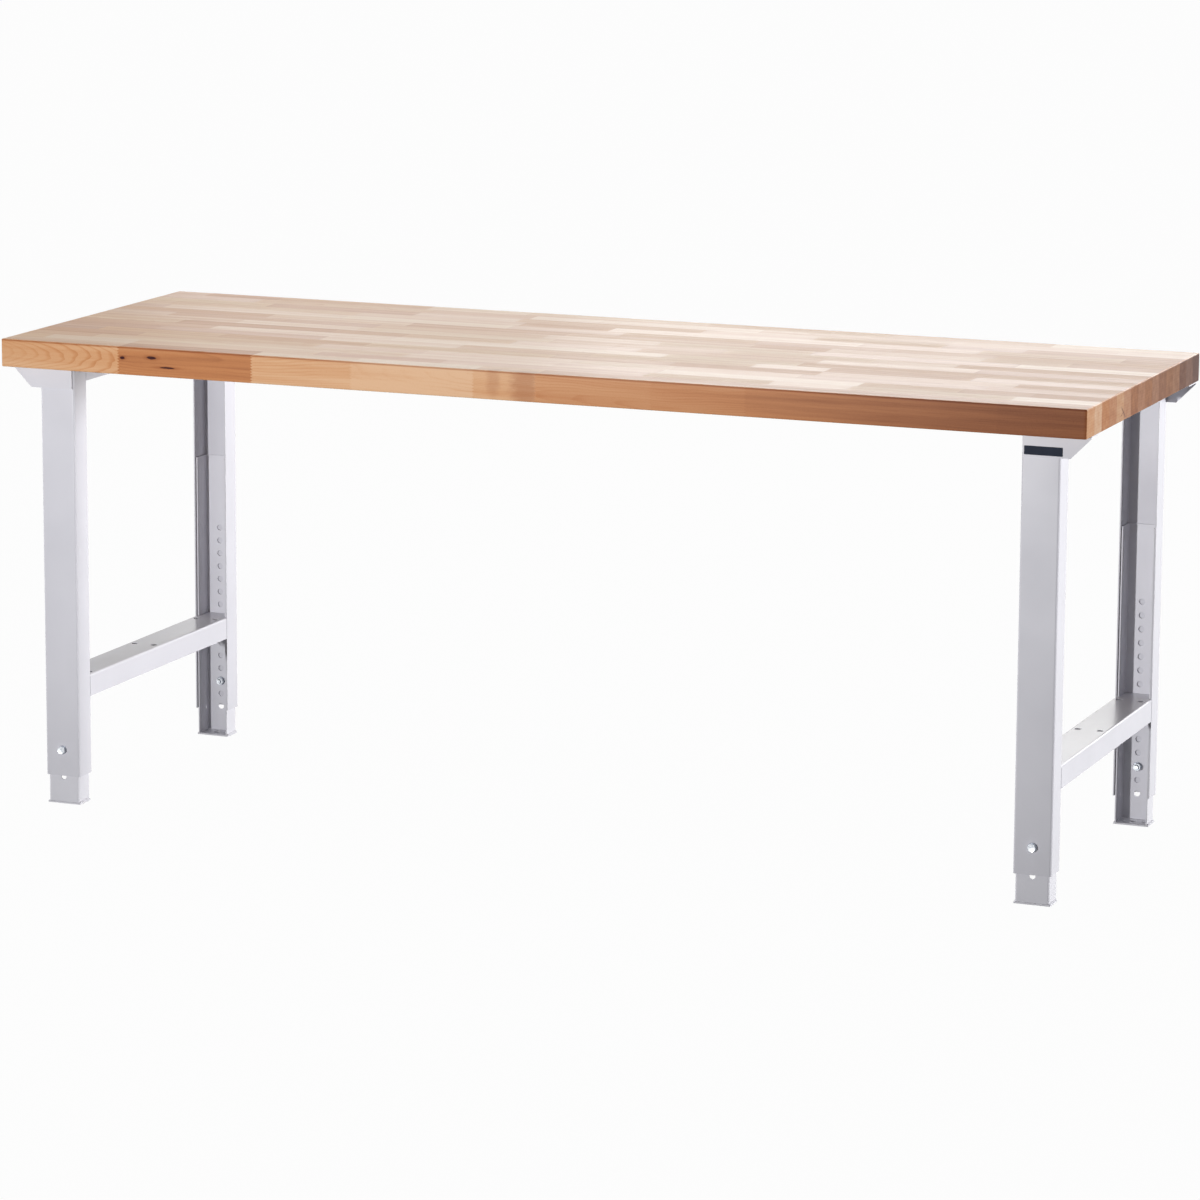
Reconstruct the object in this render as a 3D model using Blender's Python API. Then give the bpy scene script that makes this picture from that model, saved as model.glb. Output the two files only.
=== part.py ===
"""Workbench: a solid beech worktop on two welded leg frames with telescoping feet.

Each leg is an upright channel whose web faces out of the bench, with a narrower foot
channel nested inside it. A bolt through the upright's web and one hole of the foot
channel's row sets the working height. X runs along the worktop, Y from front to rear
and Z up, with the origin on the floor under the middle of the worktop. Metres.
"""
import math

import bmesh
import bpy
from mathutils import Vector

# Clearance between pieces that touch, and between pieces that slide
GAP = 0.0003
SLIDE_CLEARANCE = 0.001

# Worktop
WORKTOP_LENGTH = 2.000
WORKTOP_DEPTH = 0.700
WORKTOP_THICKNESS = 0.050
WORKTOP_HEIGHT = 0.850
WORKTOP_EDGE_BREAK = 0.0015

# Uprights and where they stand under the worktop
UPRIGHT_WIDTH = 0.067
UPRIGHT_DEPTH = 0.046
UPRIGHT_WALL = 0.0025
UPRIGHT_FLOOR_GAP = 0.052
BOLT_EDGE_DISTANCE = 0.048
BEND_INNER_RADIUS = 0.0015
BEND_STEPS = 4
END_SETBACK = 0.055
FRONT_SETBACK = 0.042
REAR_SETBACK = 0.008

# Foot channels with their row of height holes, and the plates under them
FOOT_WALL = 0.0025
FOOT_EDGE_SETBACK = 0.003
FOOT_TOP = 0.540
HOLE_PITCH = 0.025
HOLE_ROW_LOW = 0.040
HOLE_ROW_HIGH = 0.410
HEIGHT_HOLE_DIAMETER = 0.011
FOOT_PLATE_THICKNESS = 0.003
FOOT_PLATE_SIDE_MARGIN = 0.0025
FOOT_PLATE_OPEN_MARGIN = 0.001
FOOT_PLATE_CORNER = 0.0015
ANCHOR_HOLE_DIAMETER = 0.012
ANCHOR_SIDE_SPACING = 0.036
ANCHOR_SIDE_DIAMETER = 0.005

# Lower rails with their pairs of shelf holes, and top rails under the worktop
RAIL_WALL = 0.0025
LOWER_RAIL_TOP = 0.233
LOWER_RAIL_HEIGHT = 0.040
RAIL_HOLE_DIAMETER = 0.012
RAIL_HOLE_SPACING = 0.040
RAIL_HOLE_END_DISTANCE = 0.022
TOP_RAIL_HEIGHT = 0.030
TOP_RAIL_SCREW_INSET = 0.110

# Top brackets: angles on the upright ends that reach out to the worktop's ends
BRACKET_WALL = 0.003
BRACKET_DROP = 0.040
BRACKET_EDGE_INSET = 0.003
BRACKET_SHOULDER = 0.017
BRACKET_TIP_GAP = 0.003

# Fasteners: the height bolts, and the screws that hold the worktop
BOLT_DIAMETER = 0.008
BOLT_CLEARANCE = 0.0005
HEX_ACROSS_FLATS = 0.013
BOLT_HEAD_HEIGHT = 0.0053
BOLT_END = 0.003
NUT_HEIGHT = 0.0065
WASHER_DIAMETER = 0.016
WASHER_THICKNESS = 0.0016
SCREW_DIAMETER = 0.006
SCREW_ACROSS_FLATS = 0.010
SCREW_HEAD_HEIGHT = 0.004
SCREW_LENGTH = 0.030
SCREW_POINT = 0.006
SCREW_TIP_DIAMETER = 0.0015
HEX_CHAMFER = 0.0006

# Facets of round features (the hexagons need a multiple of six), and how far cuts overrun
ROUND_SIDES = 18
HOLE_SIDES = 16
EDGE_STEPS = 2
SHARP_ANGLE = math.radians(35)
CUT_MARGIN = 0.006

# Heights and planes worked out from the sizes above
UNDERSIDE = WORKTOP_HEIGHT - WORKTOP_THICKNESS
SEAT_TOP = UNDERSIDE - GAP
BRACKET_LEG_BOTTOM = SEAT_TOP - BRACKET_WALL
UPRIGHT_TOP = BRACKET_LEG_BOTTOM - BEND_INNER_RADIUS
BOLT_HEIGHT = UPRIGHT_FLOOR_GAP + BOLT_EDGE_DISTANCE
HOLES_BELOW_BOLT = math.floor((BOLT_HEIGHT - HOLE_ROW_LOW) / HOLE_PITCH)
HOLES_ABOVE_BOLT = math.floor((HOLE_ROW_HIGH - BOLT_HEIGHT) / HOLE_PITCH)
BOLT_HOLE_DIAMETER = BOLT_DIAMETER + 2 * BOLT_CLEARANCE
SCREW_HOLE_DIAMETER = SCREW_DIAMETER + 2 * BOLT_CLEARANCE
PILOT_DIAMETER = SCREW_DIAMETER + 2 * GAP
FOOT_WIDTH = UPRIGHT_WIDTH - 2 * (UPRIGHT_WALL + SLIDE_CLEARANCE)
FOOT_FACE = UPRIGHT_WALL + GAP
FOOT_BACK = FOOT_FACE + FOOT_WALL
FOOT_DEPTH = UPRIGHT_DEPTH - FOOT_FACE - FOOT_EDGE_SETBACK
FOOT_BOTTOM = FOOT_PLATE_THICKNESS + GAP
LEG_X = WORKTOP_LENGTH / 2 - END_SETBACK - UPRIGHT_WIDTH / 2
FRONT_FACE = -WORKTOP_DEPTH / 2 + FRONT_SETBACK
REAR_FACE = WORKTOP_DEPTH / 2 - REAR_SETBACK
RAIL_FRONT = FRONT_FACE + UPRIGHT_DEPTH + GAP
RAIL_REAR = REAR_FACE - UPRIGHT_DEPTH - GAP
TONGUE_REACH = FOOT_BACK + SLIDE_CLEARANCE
TONGUE_HALF = FOOT_WIDTH / 2 - FOOT_WALL - SLIDE_CLEARANCE
INNER_WASHER_START = FOOT_BACK + GAP
NUT_START = INNER_WASHER_START + WASHER_THICKNESS + GAP

# Finishes: colour, roughness and metallic value
BEECH = ((0.62, 0.40, 0.24), 0.5, 0.0)
GREY_PAINT = ((0.66, 0.66, 0.69), 0.35, 0.0)
ZINC = ((0.62, 0.64, 0.66), 0.3, 1.0)

SIDES = {"left": -1, "right": 1}
TURNS = {"front": 0.0, "rear": math.pi}
FACES = {"front": FRONT_FACE, "rear": REAR_FACE}
SCREWS = []
X_AXIS = Vector((1, 0, 0))
Y_AXIS = Vector((0, 1, 0))
Z_AXIS = Vector((0, 0, 1))


def clear_scene():
    for old in list(bpy.data.objects):
        bpy.data.objects.remove(old, do_unlink=True)


def finish_material(name, finish):
    """A plain Principled material for one sub-part."""
    colour, roughness, metallic = finish
    material = bpy.data.materials.new(name)
    material.use_nodes = True
    shader = material.node_tree.nodes["Principled BSDF"]
    shader.inputs["Base Color"].default_value = (*colour, 1.0)
    shader.inputs["Roughness"].default_value = roughness
    shader.inputs["Metallic"].default_value = metallic
    return material


def mesh_from(bm, name):
    """Closes a bmesh with its faces pointing out and shades its round stretches smooth."""
    bmesh.ops.recalc_face_normals(bm, faces=bm.faces)
    mesh = bpy.data.meshes.new(name)
    bm.to_mesh(mesh)
    bm.free()
    mesh.shade_smooth()
    mesh.set_sharp_from_angle(angle=SHARP_ANGLE)
    return mesh


def add_object(name, mesh, parent=None):
    obj = bpy.data.objects.new(name, mesh)
    bpy.context.collection.objects.link(obj)
    obj.parent = parent
    return obj


def add_piece(name, bm, finish, parent=None):
    """One sub-part: a named object with its own material."""
    piece = add_object(name, mesh_from(bm, name), parent)
    piece.data.materials.append(finish_material(name + "_finish", finish))
    return piece


def cut(piece, bm):
    """Takes the closed shapes of a bmesh out of a piece with a Boolean modifier."""
    cutter = add_object(piece.name + "_cutter", mesh_from(bm, piece.name + "_cutter"), piece.parent)
    cutter.hide_render = True
    cutter.display_type = "WIRE"
    boolean = piece.modifiers.new("cut", "BOOLEAN")
    boolean.operation = "DIFFERENCE"
    boolean.object = cutter


def add_empty(name, location, turn=0.0):
    empty = add_object(name, None)
    empty.location = location
    empty.rotation_euler = (0, 0, turn)
    return empty


def arc(centre, radius, start, end):
    """Points on a bend, from one angle to another, in degrees."""
    points = []
    for step in range(BEND_STEPS + 1):
        angle = math.radians(start + (end - start) * step / BEND_STEPS)
        points.append((centre[0] + radius * math.cos(angle), centre[1] + radius * math.sin(angle)))
    return points


def channel_outline(width, depth, wall):
    """Folded U section: the web lies on the first axis and the flanges rise to the depth."""
    half = width / 2
    bend = BEND_INNER_RADIUS + wall
    left = (bend - half, bend)
    right = (half - bend, bend)
    points = [(-half, depth)]
    points += arc(left, bend, 180, 270)
    points += arc(right, bend, 270, 360)
    points += [(half, depth), (half - wall, depth)]
    points += arc(right, BEND_INNER_RADIUS, 360, 270)
    points += arc(left, BEND_INNER_RADIUS, 270, 180)
    points.append((wall - half, depth))
    return points


def join_rings(bm, rings, closed=False):
    """Skins rings of equal count, with flat caps unless the last ring meets the first."""
    loops = [[bm.verts.new(point) for point in ring] for ring in rings]
    pairs = list(zip(loops, loops[1:]))
    if closed:
        pairs.append((loops[-1], loops[0]))
    else:
        bm.faces.new(loops[0])
        bm.faces.new(loops[-1])
    for lower, upper in pairs:
        for here in range(len(lower)):
            following = (here + 1) % len(lower)
            bm.faces.new((lower[here], lower[following], upper[following], upper[here]))


def add_prism(bm, outline, start, end, across=X_AXIS, up=Y_AXIS, along=Z_AXIS):
    """Sweeps a flat outline from start to end along one axis."""
    rings = []
    for distance in (start, end):
        rings.append([across * u + up * v + along * distance for u, v in outline])
    join_rings(bm, rings)


def add_turned(bm, centre, axis, profile, sides=ROUND_SIDES, closed=False):
    """Lofts a round or hexagonal piece along an axis.

    A profile row is a distance along the axis, a radius (half the width across flats of a
    hexagon), and whether that ring is a hexagon.
    """
    up_axis = axis.cross(X_AXIS)
    rings = []
    for distance, radius, hexagon in profile:
        points = []
        for step in range(sides):
            angle = 2 * math.pi * step / sides
            reach = radius
            if hexagon:
                reach = radius / math.cos(angle % (math.pi / 3) - math.pi / 6)
            offset = X_AXIS * math.cos(angle) + up_axis * math.sin(angle)
            points.append(centre + axis * distance + offset * reach)
        rings.append(points)
    join_rings(bm, rings, closed)


def add_hole(bm, centre, diameter, start, end, axis):
    """The cylinder of a hole, from start to end along the axis through the centre."""
    profile = [(start, diameter / 2, False), (end, diameter / 2, False)]
    add_turned(bm, centre, axis, profile, HOLE_SIDES)


def make_upright(leg, place):
    """Folded channel with the one hole that the height bolt goes through."""
    bm = bmesh.new()
    outline = channel_outline(UPRIGHT_WIDTH, UPRIGHT_DEPTH, UPRIGHT_WALL)
    add_prism(bm, outline, UPRIGHT_FLOOR_GAP, UPRIGHT_TOP)
    upright = add_piece(leg + "_upright", bm, GREY_PAINT, place)
    hole = bmesh.new()
    centre = Z_AXIS * BOLT_HEIGHT
    add_hole(hole, centre, BOLT_HOLE_DIAMETER, -CUT_MARGIN, UPRIGHT_WALL + CUT_MARGIN, Y_AXIS)
    cut(upright, hole)


def make_foot_channel(leg, slide):
    """Inner channel with its row of height holes, one of which is at the bolt."""
    bm = bmesh.new()
    outline = [(u, v + FOOT_FACE) for u, v in channel_outline(FOOT_WIDTH, FOOT_DEPTH, FOOT_WALL)]
    add_prism(bm, outline, FOOT_BOTTOM, FOOT_TOP)
    channel = add_piece(leg + "_foot_channel", bm, GREY_PAINT, slide)
    holes = bmesh.new()
    for step in range(-HOLES_BELOW_BOLT, HOLES_ABOVE_BOLT + 1):
        centre = Z_AXIS * (BOLT_HEIGHT + step * HOLE_PITCH)
        add_hole(holes, centre, HEIGHT_HOLE_DIAMETER, FOOT_FACE - CUT_MARGIN, FOOT_BACK + CUT_MARGIN, Y_AXIS)
    cut(channel, holes)


def make_foot_plate(leg, slide):
    """Plate under the foot channel, with an anchor hole and two small side holes."""
    half = FOOT_WIDTH / 2 + FOOT_PLATE_SIDE_MARGIN - FOOT_PLATE_CORNER
    front = FOOT_FACE + FOOT_PLATE_CORNER
    rear = FOOT_FACE + FOOT_DEPTH + FOOT_PLATE_OPEN_MARGIN - FOOT_PLATE_CORNER
    outline = arc((half, rear), FOOT_PLATE_CORNER, 0, 90)
    outline += arc((-half, rear), FOOT_PLATE_CORNER, 90, 180)
    outline += arc((-half, front), FOOT_PLATE_CORNER, 180, 270)
    outline += arc((half, front), FOOT_PLATE_CORNER, 270, 360)
    bm = bmesh.new()
    add_prism(bm, outline, 0, FOOT_PLATE_THICKNESS)
    plate = add_piece(leg + "_foot_plate", bm, GREY_PAINT, slide)
    holes = bmesh.new()
    middle = (FOOT_BACK + FOOT_FACE + FOOT_DEPTH) / 2
    above = FOOT_PLATE_THICKNESS + CUT_MARGIN
    add_hole(holes, Y_AXIS * middle, ANCHOR_HOLE_DIAMETER, -CUT_MARGIN, above, Z_AXIS)
    for sideways in (-ANCHOR_SIDE_SPACING / 2, ANCHOR_SIDE_SPACING / 2):
        centre = Vector((sideways, middle, 0))
        add_hole(holes, centre, ANCHOR_SIDE_DIAMETER, -CUT_MARGIN, above, Z_AXIS)
    cut(plate, holes)


def make_bracket(leg, place, outboard):
    """Folded angle: its leg lies under the worktop, its plate hangs in front of the web.

    The plate's lower outer corner is cut on the slant, from a shoulder beside the upright
    up to the worktop's end.
    """
    bend = BEND_INNER_RADIUS + BRACKET_WALL
    front = -GAP - BRACKET_WALL
    low = UNDERSIDE - BRACKET_DROP
    corner = (front + bend, SEAT_TOP - bend)
    outline = [(front, low)]
    outline += arc(corner, bend, 180, 90)
    outline += [(UPRIGHT_DEPTH, SEAT_TOP), (UPRIGHT_DEPTH, BRACKET_LEG_BOTTOM)]
    outline += arc(corner, BEND_INNER_RADIUS, 90, 180)
    outline.append((front + BRACKET_WALL, low))
    inner_end = BRACKET_EDGE_INSET - UPRIGHT_WIDTH / 2
    tip = UPRIGHT_WIDTH / 2 + END_SETBACK - BRACKET_TIP_GAP
    shoulder = UPRIGHT_WIDTH / 2 + BRACKET_SHOULDER
    out_axis = X_AXIS * outboard
    bm = bmesh.new()
    add_prism(bm, outline, inner_end, tip, Y_AXIS, Z_AXIS, out_axis)
    bracket = add_piece(leg + "_top_bracket", bm, GREY_PAINT, place)
    below = low - CUT_MARGIN
    past = tip + CUT_MARGIN
    slant_top = SEAT_TOP - bend
    wedge = [(shoulder, below), (shoulder, low), (tip, slant_top), (past, slant_top), (past, below)]
    screw_reach = (UPRIGHT_WIDTH + END_SETBACK) / 2
    screw_seat = Vector((outboard * screw_reach, UPRIGHT_DEPTH / 2, BRACKET_LEG_BOTTOM))
    cuts = bmesh.new()
    add_prism(cuts, wedge, front - CUT_MARGIN, front + bend, out_axis, Z_AXIS, Y_AXIS)
    add_hole(cuts, screw_seat, SCREW_HOLE_DIAMETER, -CUT_MARGIN, BRACKET_WALL + CUT_MARGIN, Z_AXIS)
    cut(bracket, cuts)
    make_screw(leg + "_bracket_screw", place, screw_seat)


def make_lower_rail(side, x):
    """Rail between the uprights, whose top runs on as a tongue inside each foot channel."""
    bm = bmesh.new()
    tongue_front = FRONT_FACE + TONGUE_REACH
    tongue_rear = REAR_FACE - TONGUE_REACH
    outline = channel_outline(UPRIGHT_WIDTH, LOWER_RAIL_HEIGHT, RAIL_WALL)
    add_prism(bm, outline, tongue_front, tongue_rear, X_AXIS, -Z_AXIS, Y_AXIS)
    place = add_empty(side + "_lower_rail_place", (x, 0, LOWER_RAIL_TOP))
    rail = add_piece(side + "_lower_rail", bm, GREY_PAINT, place)
    wide = UPRIGHT_WIDTH / 2 + CUT_MARGIN
    deep = LOWER_RAIL_HEIGHT + CUT_MARGIN
    notch = [(-wide, -CUT_MARGIN), (-TONGUE_HALF, -CUT_MARGIN), (-TONGUE_HALF, RAIL_WALL),
             (TONGUE_HALF, RAIL_WALL), (TONGUE_HALF, -CUT_MARGIN), (wide, -CUT_MARGIN),
             (wide, deep), (-wide, deep)]
    cuts = bmesh.new()
    add_prism(cuts, notch, tongue_front - CUT_MARGIN, RAIL_FRONT, X_AXIS, -Z_AXIS, Y_AXIS)
    add_prism(cuts, notch, RAIL_REAR, tongue_rear + CUT_MARGIN, X_AXIS, -Z_AXIS, Y_AXIS)
    middle = (RAIL_FRONT + RAIL_REAR) / 2
    for y in (RAIL_FRONT + RAIL_HOLE_END_DISTANCE, middle, RAIL_REAR - RAIL_HOLE_END_DISTANCE):
        for sideways in (-RAIL_HOLE_SPACING / 2, RAIL_HOLE_SPACING / 2):
            centre = Vector((sideways, y, 0))
            add_hole(cuts, centre, RAIL_HOLE_DIAMETER, -RAIL_WALL - CUT_MARGIN, CUT_MARGIN, Z_AXIS)
    cut(rail, cuts)


def make_top_rail(side, x):
    """Shallow rail under the worktop, with a clearance hole for each of its screws."""
    bm = bmesh.new()
    outline = channel_outline(UPRIGHT_WIDTH, TOP_RAIL_HEIGHT, RAIL_WALL)
    add_prism(bm, outline, RAIL_FRONT, RAIL_REAR, X_AXIS, -Z_AXIS, Y_AXIS)
    place = add_empty(side + "_top_rail_place", (x, 0, SEAT_TOP))
    rail = add_piece(side + "_top_rail", bm, GREY_PAINT, place)
    screw_places = {"front": RAIL_FRONT + TOP_RAIL_SCREW_INSET, "rear": RAIL_REAR - TOP_RAIL_SCREW_INSET}
    holes = bmesh.new()
    for y in screw_places.values():
        add_hole(holes, Y_AXIS * y, SCREW_HOLE_DIAMETER, -RAIL_WALL - CUT_MARGIN, CUT_MARGIN, Z_AXIS)
    cut(rail, holes)
    for end, y in screw_places.items():
        make_screw(f"{side}_rail_{end}_screw", place, Vector((0, y, -RAIL_WALL)))


def make_screw(name, place, seat):
    """Hexagon-head wood screw, driven up through the sheet whose lower face is the seat."""
    head = SCREW_ACROSS_FLATS / 2
    shank = SCREW_DIAMETER / 2
    profile = [(-SCREW_HEAD_HEIGHT, head - HEX_CHAMFER, False),
               (-SCREW_HEAD_HEIGHT + HEX_CHAMFER, head, True),
               (0, head, True),
               (0, shank, False),
               (SCREW_LENGTH - SCREW_POINT, shank, False),
               (SCREW_LENGTH, SCREW_TIP_DIAMETER / 2, False)]
    bm = bmesh.new()
    add_turned(bm, Vector((0, 0, 0)), Z_AXIS, profile)
    screw = add_piece(name, bm, ZINC, place)
    screw.location = seat - Z_AXIS * GAP
    SCREWS.append(screw)


def make_worktop():
    """Glued beech slab with broken edges and a pilot hole over every screw."""
    x = WORKTOP_LENGTH / 2
    y = WORKTOP_DEPTH / 2
    bm = bmesh.new()
    add_prism(bm, [(-x, -y), (x, -y), (x, y), (-x, y)], UNDERSIDE, WORKTOP_HEIGHT)
    worktop = add_piece("worktop", bm, BEECH)
    edges = worktop.modifiers.new("broken edges", "BEVEL")
    edges.width = WORKTOP_EDGE_BREAK
    edges.segments = EDGE_STEPS
    bpy.context.view_layer.update()
    holes = bmesh.new()
    for screw in SCREWS:
        spot = screw.matrix_world.translation * Vector((1, 1, 0))
        add_hole(holes, spot, PILOT_DIAMETER, UNDERSIDE - CUT_MARGIN, UNDERSIDE + SCREW_LENGTH, Z_AXIS)
    cut(worktop, holes)


def add_fastener(name, place, profile, closed=False):
    """One turned fastener on the height bolt's axis, which runs into the leg."""
    bm = bmesh.new()
    add_turned(bm, Vector((0, 0, 0)), Y_AXIS, profile, closed=closed)
    fastener = add_piece(name, bm, ZINC, place)
    fastener.location = Z_AXIS * BOLT_HEIGHT


def make_height_bolt(leg, place):
    """Hexagon bolt through upright and foot channel, with its head outside."""
    seat = -2 * GAP - WASHER_THICKNESS
    flats = HEX_ACROSS_FLATS / 2
    shank = BOLT_DIAMETER / 2
    end = NUT_START + NUT_HEIGHT + BOLT_END
    add_fastener(leg + "_height_bolt", place, [
        (seat - BOLT_HEAD_HEIGHT, flats - HEX_CHAMFER, False),
        (seat - BOLT_HEAD_HEIGHT + HEX_CHAMFER, flats, True),
        (seat, flats, True),
        (seat, shank, False),
        (end - HEX_CHAMFER, shank, False),
        (end, shank - HEX_CHAMFER, False)])


def make_washer(name, place, near):
    bore = BOLT_HOLE_DIAMETER / 2
    rim = WASHER_DIAMETER / 2
    far = near + WASHER_THICKNESS
    profile = [(near, bore, False), (near, rim, False), (far, rim, False), (far, bore, False)]
    add_fastener(name, place, profile, closed=True)


def make_height_nut(leg, place):
    """Hexagon nut inside the foot channel."""
    flats = HEX_ACROSS_FLATS / 2
    bore = BOLT_DIAMETER / 2 + GAP
    far = NUT_START + NUT_HEIGHT
    add_fastener(leg + "_height_nut", place, [
        (NUT_START, bore, False),
        (NUT_START, flats - HEX_CHAMFER, False),
        (NUT_START + HEX_CHAMFER, flats, True),
        (far - HEX_CHAMFER, flats, True),
        (far, flats - HEX_CHAMFER, False),
        (far, bore, False)], closed=True)


def make_leg(side, end):
    """One leg in its place with its web facing out, and its foot on a slide."""
    leg = side + "_" + end
    location = (SIDES[side] * LEG_X, FACES[end], 0)
    place = add_empty(leg + "_leg_place", location, TURNS[end])
    slide = add_empty(leg + "_foot_slide", location, TURNS[end])
    outboard = SIDES[side] if end == "front" else -SIDES[side]
    make_upright(leg, place)
    make_bracket(leg, place, outboard)
    make_foot_channel(leg, slide)
    make_foot_plate(leg, slide)
    make_height_bolt(leg, place)
    make_washer(leg + "_outer_washer", place, -GAP - WASHER_THICKNESS)
    make_washer(leg + "_inner_washer", place, INNER_WASHER_START)
    make_height_nut(leg, place)


def main():
    clear_scene()
    for side in SIDES:
        for end in TURNS:
            make_leg(side, end)
        make_lower_rail(side, SIDES[side] * LEG_X)
        make_top_rail(side, SIDES[side] * LEG_X)
    make_worktop()


main()
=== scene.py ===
# %% [markdown]
# # A beech workbench on height-adjustable steel legs
#
# The bench is a thick slab of glued beech staves on two welded steel frames. Each frame has two
# folded uprights, and in each upright a narrower foot channel slides up and down past a bolt.
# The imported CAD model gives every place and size, so this lesson only has to make things look
# right: the wood, the paint, the zinc, the welds and the fine shapes of the fasteners.

# %% Load the frame
import math
import random

import bmesh
import bpy
from mathutils import Matrix, Vector


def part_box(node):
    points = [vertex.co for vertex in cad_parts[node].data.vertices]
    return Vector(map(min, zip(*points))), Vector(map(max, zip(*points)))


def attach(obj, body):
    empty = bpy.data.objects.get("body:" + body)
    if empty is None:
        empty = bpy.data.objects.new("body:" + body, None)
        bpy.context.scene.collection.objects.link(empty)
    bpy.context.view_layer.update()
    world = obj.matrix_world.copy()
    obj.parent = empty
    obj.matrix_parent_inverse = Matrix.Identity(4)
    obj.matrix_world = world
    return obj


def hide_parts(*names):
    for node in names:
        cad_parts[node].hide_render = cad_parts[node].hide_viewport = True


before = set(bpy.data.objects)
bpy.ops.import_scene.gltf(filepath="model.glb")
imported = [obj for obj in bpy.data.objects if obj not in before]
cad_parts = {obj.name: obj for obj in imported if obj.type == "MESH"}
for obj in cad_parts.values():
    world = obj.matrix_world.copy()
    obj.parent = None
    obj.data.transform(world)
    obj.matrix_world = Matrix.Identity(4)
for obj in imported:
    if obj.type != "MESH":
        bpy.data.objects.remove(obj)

scene = bpy.context.scene
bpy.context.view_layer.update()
LEGS = ("left_front", "left_rear", "right_front", "right_rear")
SIDES = ("left", "right")


def corners(node):
    """The lowest and the highest corner of a CAD node."""
    return [Vector(corner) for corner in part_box(node)]


# %% [markdown]
# Every shader and every geometry tree below is written in code. A wire stands for the output of
# a node. It can be plugged into another node, and a sum with it adds a Math node, so a line of
# code reads like the formula that it builds.

# %% Wires and nodes
class Wire:
    """The output of a node; sums and comparisons with it add Math nodes to its tree."""

    def __init__(self, socket):
        self.socket, self.tree = socket, socket.id_data

    def math(self, operation, *others):
        inputs = dict(enumerate((self, *others)))
        return add_node(self.tree, "ShaderNodeMath", inputs, operation=operation)

    def __add__(self, other):
        return self.math("ADD", other)

    def __sub__(self, other):
        return self.math("SUBTRACT", other)

    def __rsub__(self, other):
        return self * -1.0 + other

    def __mul__(self, other):
        return self.math("MULTIPLY", other)

    def __truediv__(self, other):
        return self.math("DIVIDE", other)

    def __gt__(self, other):
        return self.math("GREATER_THAN", other)

    def __lt__(self, other):
        return self.math("LESS_THAN", other)

    def __abs__(self):
        return self.math("ABSOLUTE")


def feed(node, inputs):
    """Sets a node's inputs, each from a plain value or from a wire."""
    for key, value in inputs.items():
        if isinstance(value, Wire):
            value.tree.links.new(value.socket, node.inputs[key])
        else:
            node.inputs[key].default_value = value


def add_node(tree, kind, inputs=None, out=0, **settings):
    """Adds one node with its settings and inputs, and gives a wire from one of its outputs."""
    made = tree.nodes.new(kind)
    for label, value in settings.items():
        setattr(made, label, value)
    feed(made, inputs or {})
    return Wire(made.outputs[out])


print("wires and nodes ready")

# %% [markdown]
# A few patterns come back in every material: a smooth step, a stretched noise, a mix and a ramp of
# colours, and a bump. Their places are Object coordinates, so a pattern keeps its size in metres
# and moves with its piece.

# %% Steps and noises
def split(vector):
    """The x, y and z of a vector."""
    made = add_node(vector.tree, "ShaderNodeSeparateXYZ", {0: vector}).socket.node
    return [Wire(socket) for socket in made.outputs]


def vector_math(operation, *values, out="Vector"):
    """One Vector Math node."""
    inputs = dict(enumerate(values))
    return add_node(values[0].tree, "ShaderNodeVectorMath", inputs, out, operation=operation)


def smooth_step(value, low, high, low_result=0.0, high_result=1.0):
    """A Map Range node with a smooth step from low to high."""
    inputs = dict(enumerate((value, low, high, low_result, high_result)))
    return add_node(value.tree, "ShaderNodeMapRange", inputs, interpolation_type="SMOOTHSTEP")


def noise(place, stretch, detail=2.0, seed=0.0):
    """A noise from 0 to 1; stretch is how many bumps there are per metre along x, y and z."""
    moved = vector_math("ADD", vector_math("MULTIPLY", place, stretch), (seed, seed, seed))
    inputs = {"Vector": moved, "Scale": 1.0, "Detail": detail}
    return add_node(place.tree, "ShaderNodeTexNoise", inputs)


print("steps and noises ready")

# %% Colours and finishes
def mix_colour(share, first, second, blend="MIX"):
    """A Mix node for colours."""
    return add_node(share.tree, "ShaderNodeMix", {0: share, 6: first, 7: second}, 2,
                    data_type="RGBA", blend_type=blend, clamp_factor=True)


def colour_ramp(value, stops):
    """A Color Ramp node with (place, colour) stops."""
    ramp = add_node(value.tree, "ShaderNodeValToRGB", {0: value})
    elements = ramp.socket.node.color_ramp.elements
    while len(elements) < len(stops):
        elements.new(1.0)
    for element, (place, colour) in zip(elements, stops):
        element.position = place
        element.color = colour
    return ramp


def new_finish(name):
    """A material, its shader and the Object coordinates that its patterns use."""
    material = bpy.data.materials.new(name)
    material.use_nodes = True
    place = add_node(material.node_tree, "ShaderNodeTexCoord", out="Object")
    return material, material.node_tree.nodes["Principled BSDF"], place


def bump(shader, height, strength, depth):
    """A Bump node on a shader; depth is the height of the bumps in metres."""
    inputs = {"Height": height, "Strength": strength, "Distance": depth}
    feed(shader, {"Normal": add_node(height.tree, "ShaderNodeBump", inputs)})


print("colours and finishes ready")

# %% [markdown]
# ## The wood
#
# Beech is pale, pinkish and even, with faint growth rings and countless short brown flecks. A
# flat picture of it would look the same on each stave. Here the rings are solid: each stave has
# its own pith line somewhere in or outside the wood, a little tilted, and the distance from that
# line gives the rings. The same rings then show as arches on the long faces and as arcs on the
# ends, as they do on real wood. The staves' own values come from attributes on the mesh.
#
# The front row is seen most, so its staves are laid out one by one: where they end, and how dark,
# how ringed and how warm each of them is.

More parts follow.
